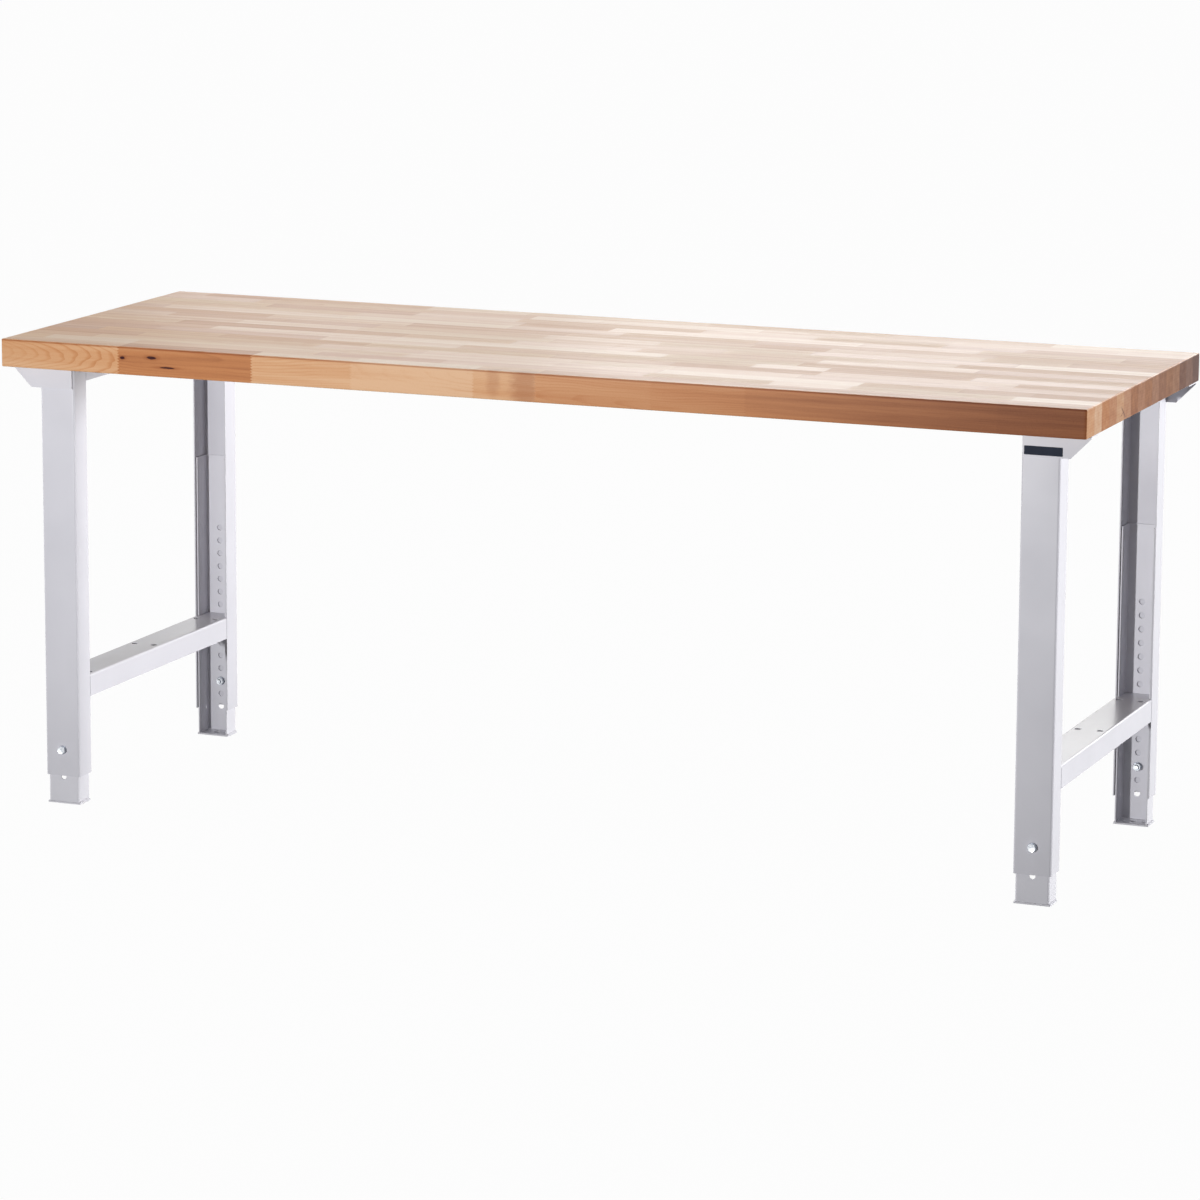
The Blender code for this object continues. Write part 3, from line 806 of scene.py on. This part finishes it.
def folded(name, replaced, outline, length, seats, holes=(), prisms=(), body="bench",
           paint=frame_paint, slot="frame_paint"):
    """Makes one folded piece for a body, in the place of its CAD nodes."""
    values = {"Outline": outline_plan(outline), "Bend Steps": BEND_STEPS, "Length": length,
              "Punch Sides": PUNCH_SIDES, "Seats": seat_plan(seats), "Material": paint}
    if holes:
        values["Holes"] = hole_plan(holes)
    if prisms:
        values["Cutter"] = prism_plan(prisms)
    grow(name, folded_steel, values, body, replaced, SHEET_EDGE)


print("a bend takes", BEND_STEPS, "steps, a punched hole has", PUNCH_SIDES, "sides")

# %% [markdown]
# The uprights are plain channels, web outwards, with one hole for the height bolt. The rear pair
# is the front pair turned by half a turn, so one outline and four seats are enough.

# %% Uprights
HALF_TURN, QUARTER_TURN = math.pi, math.pi / 2
SHEET = .0025
BOLT_HOLE, BOLT_RISE = .009, .048
PUNCH_DEPTH = .012
UPRIGHT_LOW, UPRIGHT_HIGH = corners("left_front_upright")
UPRIGHT_SIZE = UPRIGHT_HIGH - UPRIGHT_LOW
BOLT_HEIGHT = UPRIGHT_LOW.z + BOLT_RISE


def leg_place(leg):
    """The middle of an upright's web at floor level, and the leg's turn."""
    low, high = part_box(leg + "_upright")
    front = leg.endswith("front")
    place = Vector(((low[0] + high[0]) / 2, low[1] if front else high[1], 0))
    return place, 0.0 if front else HALF_TURN


def leg_seat(leg, inward, height):
    """A seat on a leg, some way inward from its web and at some height."""
    place, turn = leg_place(leg)
    return place + Vector((0, -inward if turn else inward, height)), (0, 0, turn)


def web_hole(height, diameter, across=0.0):
    """A hole through the web of a channel, at some height along it."""
    return (across, SHEET / 2, height), diameter, PUNCH_DEPTH, (QUARTER_TURN, 0, 0)


folded("folded_uprights", [leg + "_upright" for leg in LEGS],
       channel_outline(UPRIGHT_SIZE.x, UPRIGHT_SIZE.y, SHEET), UPRIGHT_SIZE.z,
       [leg_seat(leg, 0.0, UPRIGHT_LOW.z) for leg in LEGS],
       [web_hole(BOLT_HEIGHT - UPRIGHT_LOW.z, BOLT_HOLE)])

# %% [markdown]
# The feet are the telescoping part: a channel just narrow enough to slide in the upright, punched
# every 25 mm, and welded to a small plate that stands on the floor. Each foot moves by itself,
# so each gets its own pieces, which ride on that foot.

# %% Feet
HEIGHT_HOLE, HOLE_PITCH = .011, .025
HOLES_BELOW, HOLES_ABOVE = 2, 12
ANCHOR_HOLE, ANCHOR_SIDE_HOLE, ANCHOR_SPACING = .012, .005, .036
PLATE_CORNER = .0015
anchor_row = ((0, ANCHOR_HOLE), (-ANCHOR_SPACING / 2, ANCHOR_SIDE_HOLE),
              (ANCHOR_SPACING / 2, ANCHOR_SIDE_HOLE))
for leg in LEGS:
    foot = {"body": leg + "_foot", "paint": foot_paint, "slot": "foot_paint"}
    low, high = corners(leg + "_foot_channel")
    size = high - low
    place, turn = leg_place(leg)
    face = place.y - high.y if turn else low.y - place.y
    bolted = BOLT_HEIGHT - low.z
    heights = [bolted + step * HOLE_PITCH for step in range(-HOLES_BELOW, HOLES_ABOVE + 1)]
    folded(leg + "_punched_foot", [leg + "_foot_channel"],
           channel_outline(size.x, size.y, SHEET), size.z, [leg_seat(leg, face, low.z)],
           [web_hole(height, HEIGHT_HOLE) for height in heights], **foot)
    plate_low, plate_high = corners(leg + "_foot_plate")
    plate = plate_high - plate_low
    middle = (size.y + SHEET) / 2
    anchors = [((across, middle, plate.z / 2), diameter, PUNCH_DEPTH, (0, 0, 0))
               for across, diameter in anchor_row]
    folded(leg + "_base_plate", [leg + "_foot_plate"],
           plate_outline((-plate.x / 2, 0), (plate.x / 2, plate.y), PLATE_CORNER), plate.z,
           [leg_seat(leg, face, plate_low.z)], anchors, **foot)

# %% [markdown]
# The rails tie the uprights into frames. The lower ones are channels with the open side down and
# pairs of holes for a shelf, and their tops run on as tongues that steady the feet. The top rails
# are shallower and carry the worktop.

# %% Rails
RAIL_HOLE, RAIL_HOLE_SPACING, RAIL_HOLE_END = .012, .040, .022
TONGUE_HALF = .0265
CUT_MARGIN = .006
SCREW_HOLE, RAIL_SCREW_INSET = .007, .110
RAIL_TURN = (-QUARTER_TURN, 0, 0)


def rails(name, node, holes, prisms=()):
    """Makes both rails of a kind, from the front ends of their tops."""
    boxes = [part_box(side + node) for side in SIDES]
    size = Vector(boxes[0][1]) - Vector(boxes[0][0])
    seats = [(Vector(((low[0] + high[0]) / 2, low[1], high[2])), RAIL_TURN) for low, high in boxes]
    folded(name, [side + node for side in SIDES], channel_outline(size.x, size.z, SHEET), size.y,
           seats, holes, prisms)


lower_low, lower_high = corners("left_lower_rail")
top_low, top_high = corners("left_top_rail")
lower_size, top_size = lower_high - lower_low, top_high - top_low
tongue = top_low.y - lower_low.y
wide, deep = lower_size.x / 2 + CUT_MARGIN, lower_size.z + CUT_MARGIN
notch = [(-wide, -CUT_MARGIN), (-TONGUE_HALF, -CUT_MARGIN), (-TONGUE_HALF, SHEET),
         (TONGUE_HALF, SHEET), (TONGUE_HALF, -CUT_MARGIN), (wide, -CUT_MARGIN), (wide, deep),
         (-wide, deep)]
notches = [[[(across, up, along) for across, up in notch] for along in ends] for ends in (
    (-CUT_MARGIN, tongue), (lower_size.y - tongue, lower_size.y + CUT_MARGIN))]
shelf_rows = (tongue + RAIL_HOLE_END, lower_size.y / 2, lower_size.y - tongue - RAIL_HOLE_END)
rails("lower_rails", "_lower_rail", [
    web_hole(along, RAIL_HOLE, across) for along in shelf_rows
    for across in (-RAIL_HOLE_SPACING / 2, RAIL_HOLE_SPACING / 2)], notches)
rails("top_rails", "_top_rail", [
    web_hole(along, SCREW_HOLE) for along in (RAIL_SCREW_INSET, top_size.y - RAIL_SCREW_INSET)])

# %% [markdown]
# Each top bracket is an angle: one leg lies under the worktop, the other hangs in front of the
# upright and is cut on the slant towards the worktop's end. Brackets come in two hands. The right
# front and left rear ones are the same piece turned round, and so are the other two.

# %% Outline of a bracket
BRACKET_SHEET, BRACKET_SHOULDER = .003, .017
bracket_low, bracket_high = corners("right_front_top_bracket")
right_place = leg_place("right_front")[0]
bracket_face = bracket_low.y - right_place.y
bracket_depth = bracket_high.y - right_place.y
bracket_start = bracket_low.x - right_place.x
bracket_length = bracket_high.x - bracket_low.x
bracket_bend = BEND_INNER + BRACKET_SHEET
under_top, behind_face = bracket_high.z - BRACKET_SHEET, bracket_face + BRACKET_SHEET
angle_outline = [(bracket_face, bracket_low.z, 0), (bracket_face, bracket_high.z, bracket_bend),
                 (bracket_depth, bracket_high.z, 0), (bracket_depth, under_top, 0),
                 (behind_face, under_top, BEND_INNER), (behind_face, bracket_low.z, 0)]
shoulder = UPRIGHT_SIZE.x / 2 + BRACKET_SHOULDER - bracket_start
slant_top = bracket_high.z - bracket_bend
below, beyond = bracket_low.z - CUT_MARGIN, bracket_length + CUT_MARGIN
wedge = [(shoulder, below), (shoulder, bracket_low.z), (bracket_length, slant_top),
         (beyond, slant_top), (beyond, below)]
screw_low, screw_high = corners("right_front_bracket_screw")
screw_out = (screw_low.x + screw_high.x) / 2 - bracket_low.x
screw_in = (screw_low.y + screw_high.y) / 2 - right_place.y
print("bracket length", round(bracket_length, 4), "shoulder at", round(shoulder, 4))

# %% [markdown]
# The two hands share the outline. For the left hand its across and up are swapped, which mirrors
# the piece without turning its faces inside out.

# %% Brackets of both hands
RIGHT_HAND = Matrix(((0, 0, 1), (1, 0, 0), (0, 1, 0)))
LEFT_HAND = Matrix(((0, 0, -1), (0, 1, 0), (1, 0, 0)))
for name, legs, hand in (("right_hand_brackets", ("right_front", "left_rear"), RIGHT_HAND),
                         ("left_hand_brackets", ("left_front", "right_rear"), LEFT_HAND)):
    swap = name.startswith("left")

    def on_hand(inward, up, out):
        return (up, inward, out) if swap else (inward, up, out)

    seats = []
    for leg in legs:
        place, turn = leg_place(leg)
        leg_turn = Matrix.Rotation(turn, 3, "Z") @ hand
        seats.append((place + leg_turn @ Vector((0, 0, bracket_start)), leg_turn.to_euler()))
    slant_cut = [[on_hand(inward, up, out) for out, up in wedge]
                 for inward in (bracket_face - CUT_MARGIN, bracket_face + bracket_bend)]
    screw_hole = (on_hand(screw_in, bracket_high.z - BRACKET_SHEET / 2, screw_out), SCREW_HOLE,
                  PUNCH_DEPTH, (0, QUARTER_TURN, 0) if swap else (QUARTER_TURN, 0, 0))
    outline = [(*on_hand(across, up, 0)[:2], bend) for across, up, bend in angle_outline]
    folded(name, [leg + "_top_bracket" for leg in legs], outline, bracket_length, seats,
           [screw_hole], [slant_cut])

# %% [markdown]
# ## The fasteners
#
# Each foot hangs on one zinc-plated M8 bolt with two washers and a nut, and eight hexagon screws
# hold the worktop. A lathe chamfers a hexagon head with a cone, which leaves an arc on each flat.
# The rings below are worked out in the same way: where the hexagon reaches far, the ring drops.

# %% Turned shapes
TURN_SIDES = 24
CHAMFER_SLOPE = math.tan(math.radians(30))


def circle(radius, height):
    """A round ring at a height."""
    return lambda angle: (radius, height)


def hexagon(flats, height, edge=None, way=1):
    """A hexagonal ring; with an edge radius it follows the arcs that the chamfer leaves."""
    def ring(angle):
        reach = flats / 2 / math.cos(angle % (math.pi / 3) - math.pi / 6)
        drop = (reach - edge) * CHAMFER_SLOPE if edge else 0
        return reach, height + way * drop
    return ring


def turned_shape(name, rings, hollow=False):
    """A closed shape round the z axis; hollow ones run from the last ring back to the first."""
    points, faces = [], []
    for ring in rings:
        for step in range(TURN_SIDES):
            angle = 2 * math.pi * step / TURN_SIDES
            radius, height = ring(angle)
            points.append((radius * math.cos(angle), radius * math.sin(angle), height))
    for lower in range(len(rings) if hollow else len(rings) - 1):
        upper = (lower + 1) % len(rings)
        for step in range(TURN_SIDES):
            after = (step + 1) % TURN_SIDES
            faces.append([lower * TURN_SIDES + step, lower * TURN_SIDES + after,
                          upper * TURN_SIDES + after, upper * TURN_SIDES + step])
    if not hollow:
        faces.append(list(range(TURN_SIDES))[::-1])
        faces.append([(len(rings) - 1) * TURN_SIDES + step for step in range(TURN_SIDES)])
    return hidden_plan(name, points, {}, (), faces)


print("turned shapes have", TURN_SIDES, "sides")

# %% [markdown]
# One tree sets a fastener on all its seats. It shades the turned faces smooth and keeps the edges
# sharp where two faces meet at more than a small angle, as they are on real hardware.

# %% Tree of the fasteners
SHARP_ANGLE = math.radians(25)


def fastener_tree():
    tree, sizes = new_tree("fasteners_on_seats", {
        "Fastener": "Object", "Seats": "Object", "Sharp Angle": "Float", "Material": "Material"})
    placed = set_on(shape_of(sizes["Seats"]), shape_of(sizes["Fastener"]))
    angle = geo(tree, "InputMeshEdgeAngle", out="Unsigned Angle")
    edges = {"Geometry": smooth(placed), "Selection": angle > sizes["Sharp Angle"],
             "Shade Smooth": False}
    sharp = geo(tree, "SetShadeSmooth", edges, domain="EDGE")
    return end_tree(sharp, sizes["Material"])


def set_fasteners(name, shape, seats, replaced, metal=bright_zinc):
    """Sets one kind of fastener on all its seats, in the place of the CAD nodes."""
    grow(name, fasteners, {"Fastener": shape, "Seats": seat_plan(seats),
                           "Sharp Angle": SHARP_ANGLE, "Material": metal},
         "bench", replaced)


fasteners = fastener_tree()

# %% [markdown]
# The height bolts run through the upright and one hole of the foot channel. Only the end of the
# thread shows past the nut, so it gets real grooves and the rest is a plain shank. Nobody lines
# up the hexagons, so each bolt is turned by another angle.

# %% Height bolts
FLATS, EDGE_SHARE = .013, .475
HEAD_HEIGHT, HEAD_SEAT, WASHER_FACE = .0053, -.0022, .0003
DISH_SHARE, DISH_DEPTH = .86, .0002
SHANK, THREAD_ROOT, THREAD_PITCH = .0040, .0034, .00125
THREAD_STEPS = ((SHANK, .25), (SHANK, .35), (THREAD_ROOT, .85), (THREAD_ROOT, 1.0))
NUT_START, NUT_END, BOLT_END = .0075, .0140, .0170
SPINS = {"left_front": .35, "left_rear": .90, "right_front": .12, "right_rear": .60}


def bolt_seat(leg):
    """A seat on the bolt's axis, which runs into the leg."""
    place, turn = leg_place(leg)
    way = Matrix.Rotation(turn, 3, "Z") @ Matrix.Rotation(-QUARTER_TURN, 3, "X")
    way = way @ Matrix.Rotation(SPINS[leg], 3, "Z")
    return place + Vector((0, 0, BOLT_HEIGHT)), way.to_euler()


bolt_seats = [bolt_seat(leg) for leg in LEGS]
edge = FLATS * EDGE_SHARE
head_top = HEAD_SEAT - HEAD_HEIGHT
thread = []
height = NUT_START
while height < BOLT_END - THREAD_PITCH:
    thread += [circle(radius, height + THREAD_PITCH * share) for radius, share in THREAD_STEPS]
    height += THREAD_PITCH
set_fasteners("height_bolts", turned_shape("bolt", [
    circle(edge * DISH_SHARE, head_top + DISH_DEPTH), circle(edge, head_top),
    hexagon(FLATS, head_top, edge), hexagon(FLATS, HEAD_SEAT - WASHER_FACE),
    circle(edge, HEAD_SEAT - WASHER_FACE), circle(edge, HEAD_SEAT), circle(SHANK, HEAD_SEAT),
    *thread, circle(THREAD_ROOT, BOLT_END)]), bolt_seats, [leg + "_height_bolt" for leg in LEGS])

# %% [markdown]
# The nut is chamfered on both sides and countersunk where the bolt comes out. The washers are
# stamped, with a small round at the rim.

# %% Nuts and washers
NUT_PLAY, NUT_MOUTH, MOUTH_DEPTH = .0003, .0008, .0006
WASHER_RIM, WASHER_BORE, WASHER_THICKNESS, WASHER_EDGE = .0080, .0045, .0016, .0002
WASHER_STARTS = {"outer": -.0019, "inner": .0056}
set_fasteners("height_nuts", turned_shape("nut", [
    circle(SHANK + NUT_PLAY, NUT_START), circle(edge, NUT_START), hexagon(FLATS, NUT_START, edge),
    hexagon(FLATS, NUT_END, edge, -1), circle(edge, NUT_END), circle(SHANK + NUT_MOUTH, NUT_END),
    circle(SHANK + NUT_PLAY, NUT_END - MOUTH_DEPTH)], hollow=True),
    bolt_seats, [leg + "_height_nut" for leg in LEGS])
# The washers take the darker zinc, painted shade around the bolt heads.
for side_name, start in WASHER_STARTS.items():
    end, rim = start + WASHER_THICKNESS, WASHER_RIM - WASHER_EDGE
    set_fasteners(side_name + "_washers", turned_shape("washer", [
        circle(WASHER_BORE, start), circle(rim, start), circle(WASHER_RIM, start + WASHER_EDGE),
        circle(WASHER_RIM, end - WASHER_EDGE), circle(rim, end), circle(WASHER_BORE, end)],
        hollow=True), bolt_seats, [f"{leg}_{side_name}_washer" for leg in LEGS], painted_shade_zinc)

# %% [markdown]
# The worktop screws are driven up from below. Their threads are buried in the wood, so a plain
# shank with a point is enough, and only the hexagon heads show under the brackets and top rails.

# %% Worktop screws
SCREW_FLATS, SCREW_HEAD, SCREW_SHANK = .010, .004, .0030
SCREW_LENGTH, SCREW_POINT, SCREW_TIP, SCREW_SPIN = .030, .006, .0008, 1.7
screw_nodes = [leg + "_bracket_screw" for leg in LEGS]
screw_nodes += [f"{side}_rail_{end}_screw" for side in SIDES for end in ("front", "rear")]
screw_seats = []
for index, node in enumerate(screw_nodes):
    low, high = corners(node)
    place = Vector(((low.x + high.x) / 2, (low.y + high.y) / 2, low.z + SCREW_HEAD))
    screw_seats.append((place, (0, 0, index * SCREW_SPIN)))
edge = SCREW_FLATS * EDGE_SHARE
set_fasteners("worktop_screws", turned_shape("screw", [
    circle(edge * DISH_SHARE, DISH_DEPTH - SCREW_HEAD), circle(edge, -SCREW_HEAD),
    hexagon(SCREW_FLATS, -SCREW_HEAD, edge), hexagon(SCREW_FLATS, 0), circle(SCREW_SHANK, 0),
    circle(SCREW_SHANK, SCREW_LENGTH - SCREW_POINT), circle(SCREW_TIP, SCREW_LENGTH)]),
    screw_seats, screw_nodes)

# %% [markdown]
# ## The welds
#
# Short welds join the rails and brackets to the uprights, and each foot channel to its plate. A
# bead is a row of frozen ripples, so the tree runs a round profile along each seam and lets its
# thickness rise and fall. Where the seam shows, it was ground nearly flush before painting.

# %% Tree of the beads
RIPPLE_PITCH, RIPPLE_DEPTH, STEPS_PER_RIPPLE, BEAD_SIDES = .0022, .22, 4.0, 8


def weld_tree():
    tree, sizes = new_tree("weld_beads", {
        "Seams": "Object", "Bead Radius": "Float", "Ripple Pitch": "Float",
        "Ripple Depth": "Float", "Sides": "Int", "Material": "Material"})
    line = geo(tree, "MeshToCurve", {"Mesh": shape_of(sizes["Seams"])})
    fine = geo(tree, "ResampleCurve", {
        "Curve": line, "Length": sizes["Ripple Pitch"] / STEPS_PER_RIPPLE}, mode="LENGTH")
    along = geo(tree, "SplineParameter", out="Length")
    wave = abs((along * math.pi / sizes["Ripple Pitch"]).math("SINE"))
    swell = 1.0 - sizes["Ripple Depth"] * (1.0 - wave)
    profile = geo(tree, "CurvePrimitiveCircle", {"Resolution": sizes["Sides"], "Radius": 1.0})
    bead = geo(tree, "CurveToMesh", {
        "Curve": fine, "Profile Curve": profile, "Scale": sizes["Bead Radius"] * swell,
        "Fill Caps": True})
    return end_tree(smooth(bead), sizes["Material"])


def weld(name, body, seams, radius, paint):
    """Runs a bead along each seam, from its first point to its last."""
    points = [point for seam in seams for point in seam]
    plan = hidden_plan("seams", points, {}, [(here, here + 1) for here in range(0, len(points), 2)])
    grow(name, weld_beads, {
        "Seams": plan, "Bead Radius": radius, "Ripple Pitch": RIPPLE_PITCH,
        "Ripple Depth": RIPPLE_DEPTH, "Sides": BEAD_SIDES, "Material": paint}, body)


weld_beads = weld_tree()

# %% [markdown]
# The seams run where a welder would reach: up both walls of each rail, outside and inside, along
# the head of each upright under its bracket, and along each foot channel on its plate.

# %% Seams
GROUND_BEAD, INNER_BEAD, SEAM_START, SEAM_INSET = .0006, .0016, .001, .004
ground_seams, inner_seams = [], []
for side in SIDES:
    for node in ("_lower_rail", "_top_rail"):
        low, high = corners(side + node)
        for joint in (top_low.y, top_high.y):
            for wall, way in ((low.x, SHEET), (high.x, -SHEET)):
                for seams, across in ((ground_seams, wall), (inner_seams, wall + way)):
                    seams.append(((across, joint, low.z + SEAM_START),
                                  (across, joint, high.z - SEAM_INSET)))
for leg in LEGS:
    low, high = corners(leg + "_upright")
    head = high.z + BEND_INNER / 2
    inner_seams += [((wall, low.y + SEAM_INSET, head), (wall, high.y - SEAM_INSET, head))
                    for wall in (low.x, high.x)]
    low, high = corners(leg + "_foot_channel")
    weld(leg + "_foot_welds", leg + "_foot",
         [((wall, low.y + SEAM_INSET, low.z), (wall, high.y - SEAM_START, low.z))
          for wall in (low.x, high.x)], INNER_BEAD, foot_paint)
weld("ground_welds", "bench", ground_seams, GROUND_BEAD, frame_paint)
weld("inner_welds", "bench", inner_seams, INNER_BEAD, frame_paint)

# %% [markdown]
# A small bare dark plate sits on the right front bracket: brushed, lacquered sheet with rounded
# corners, made by the same tree as the folded pieces. A noise that is very fine in one direction
# only gives the brush marks.

# %% Plate on the right front bracket
PLATE_LOW, PLATE_HIGH = (.883, .763), (.949, .778)
PLATE_THICKNESS, PLATE_ROUND = .0008, .0012
PLATE_DARK, PLATE_SHEEN = (.006, .010, .022, 1), (.014, .021, .040, 1)
BRUSH_WAVES, MIST_WAVES, BRUSH_SHARE, MIST_SHARE = (60, 60, 4200), (90, 90, 90), .6, .4
PLATE_ROUGHNESS, PLATE_SHINE, BRUSH_BUMP, BRUSH_DEPTH = (.34, .46), .06, .10, .0001


def make_lacquer():
    material, shader, place = new_finish("dark_lacquer")
    brushed = noise(place, BRUSH_WAVES, 2.0)
    mist = noise(place, MIST_WAVES, 2.0, 6.0)
    tint = brushed * BRUSH_SHARE + mist * MIST_SHARE
    ramp = colour_ramp(tint, ((RAMP_LOW, PLATE_DARK), (RAMP_HIGH, PLATE_SHEEN)))
    feed(shader, {"Base Color": ramp, "Specular IOR Level": PLATE_SHINE,
                  "Roughness": smooth_step(brushed, .2, .8, *PLATE_ROUGHNESS)})
    bump(shader, brushed, BRUSH_BUMP, BRUSH_DEPTH)
    return material


plate_size = [high - low for low, high in zip(PLATE_LOW, PLATE_HIGH)]
plate_place = Vector((PLATE_LOW[0], bracket_low.y, PLATE_LOW[1]))
folded("bare_plate", [], plate_outline((0, 0), plate_size, PLATE_ROUND), PLATE_THICKNESS,
       [(plate_place, (QUARTER_TURN, 0, 0))], paint=make_lacquer())

# %% [markdown]
# ## Floor, light and camera
#
# The picture is a studio shot on white. The floor and the world look white to the camera and in
# reflections, but give only a plain, soft light, so the colours come out about as they are
# written.

# %% Floor
FLOOR_SIZE = 60.0
FLOOR_COLOUR, WHITE = (.34, .34, .34, 1), (1, 1, 1, 1)
WHITE_SHARE = .975


def seen_directly(tree):
    """1 for rays from the camera, from gloss or through glass, else 0."""
    camera, gloss, glass = (add_node(tree, "ShaderNodeLightPath", out=f"Is {ray} Ray")
                            for ray in ("Camera", "Glossy", "Transmission"))
    return camera.math("MAXIMUM", gloss).math("MAXIMUM", glass)


def make_floor():
    mesh = bpy.data.meshes.new("studio_floor")
    half = FLOOR_SIZE / 2
    mesh.from_pydata([(-half, -half, 0), (half, -half, 0), (half, half, 0), (-half, half, 0)], [],
                     [(0, 1, 2, 3)])
    floor = bpy.data.objects.new("studio_floor", mesh)
    scene.collection.objects.link(floor)
    material, shader, place = new_finish("pale_floor")
    feed(shader, {"Base Color": FLOOR_COLOUR, "Roughness": 1.0, "Specular IOR Level": 0.0})
    tree = material.node_tree
    glow = add_node(tree, "ShaderNodeEmission", {"Color": WHITE, "Strength": 1.0})
    mixed = add_node(tree, "ShaderNodeMixShader", {
        0: seen_directly(tree) * WHITE_SHARE, 1: Wire(shader.outputs[0]), 2: glow})
    feed(tree.nodes["Material Output"], {"Surface": mixed})
    mesh.materials.append(material)


make_floor()
print("floor is", FLOOR_SIZE, "m wide")

# %% World
SOFT_WORLD = .13


def make_world():
    world = bpy.data.worlds.new("white_studio")
    world.use_nodes = True
    scene.world = world
    tree = world.node_tree
    strength = seen_directly(tree) * (1.0 - SOFT_WORLD) + SOFT_WORLD
    feed(tree.nodes["Background"], {"Color": WHITE, "Strength": strength})


make_world()
print("world gives", SOFT_WORLD, "of its white as light")

# %% [markdown]
# A low spot at the front left lights the front and leaves the legs' lower ends darker. A low sun
# on the right reaches far under the worktop, and a weak one on the left opens the shadows there.
# Both suns give no highlights, because a sun mirrored in the polish would burn out the top. A
# panel above lights the top, most on the left. The three panels behind are there to be mirrored:
# they give the polished top its pale, glossy sweep towards the right rear.

# %% Kinds of lamps
def add_light(name, kind, place, target, power, mirrored=True):
    """A lamp that the camera doesn't see; one that isn't mirrored gives no highlights either."""
    light = bpy.data.lights.new(name, kind)
    light.energy = power
    lamp = bpy.data.objects.new(name, light)
    lamp.location = place
    lamp.visible_camera = False
    lamp.visible_glossy = mirrored
    lamp.rotation_euler = (Vector(target) - lamp.location).to_track_quat("-Z", "Y").to_euler()
    scene.collection.objects.link(lamp)
    return light


def add_sun(name, place, target, power, angle):
    """A sun that gives no highlights; the angle is how wide it is in the sky."""
    add_light(name, "SUN", place, target, power, mirrored=False).angle = math.radians(angle)


def add_panel(name, place, target, size, power):
    """A flat soft lamp."""
    light = add_light(name, "AREA", place, target, power)
    light.shape, light.size, light.size_y = "RECTANGLE", size[0], size[1]


print("lamps can be set")

# %% Lamps
key = add_light("key_lamp", "SPOT", place=(-1.9, -6.5, .76), target=(-.05, -.2, 1.25), power=1540)
key.spot_size, key.spot_blend, key.shadow_soft_size = math.radians(40), 1.0, .15
add_sun("side_lamp", place=(8.0, 3.2, .65), target=(0, 0, .5), power=4.7, angle=6)
add_sun("left_fill_lamp", place=(-8.0, 1.0, 1.4), target=(0, 0, .5), power=1.6, angle=20)
add_panel("top_lamp", place=(-1.5, -.6, 4.0), target=(-.9, 0, .8), size=(2.4, 1.6), power=30.5)
add_panel("rear_lamp", place=(-.8, 5.0, 2.10), target=(-.2, 0, .85), size=(5.0, 1.4), power=28)
add_panel("rear_middle_lamp", place=(-.2, 5.0, 2.00), target=(.4, 0, .85), size=(3.6, .9), power=20)
add_panel("rear_right_lamp", place=(2.4, 5.0, 1.95), target=(.9, 0, .5), size=(1.6, 1.5), power=40)
print("lamps", [item.name for item in bpy.data.lights])

# %% [markdown]
# The camera stands at the front right, a little above the worktop, with a long lens that keeps the
# legs nearly parallel. Its place was fitted to the corners of the worktop and the legs.

# %% Camera
CAMERA_PLACE = Vector((3.1754, -7.9012, 2.0818))
CAMERA_ANGLES = 22.202, 10.5195, .2617
CAMERA_LENS, SENSOR_WIDTH, CAMERA_REACH = 146.03, 36.0, 100.0
CAMERA_SHIFT = (.025, -.05)


def add_camera():
    data = bpy.data.cameras.new("photo_camera")
    data.lens, data.sensor_width, data.clip_end = CAMERA_LENS, SENSOR_WIDTH, CAMERA_REACH
    data.shift_x, data.shift_y = CAMERA_SHIFT
    camera = bpy.data.objects.new("photo_camera", data)
    scene.collection.objects.link(camera)
    azimuth, elevation, roll = (math.radians(angle) for angle in CAMERA_ANGLES)
    aside, towards = math.sin(azimuth), math.cos(azimuth)
    flat = math.cos(elevation)
    back = Vector((aside * flat, -towards * flat, math.sin(elevation)))
    right = Matrix.Rotation(roll, 3, back) @ Vector((towards, aside, 0))
    turn = Matrix((right, back.cross(right), back)).transposed()
    camera.matrix_world = Matrix.Translation(CAMERA_PLACE) @ turn.to_4x4()
    scene.camera = camera


add_camera()
scene.view_settings.view_transform = "Standard"
print("camera lens", CAMERA_LENS, "mm")
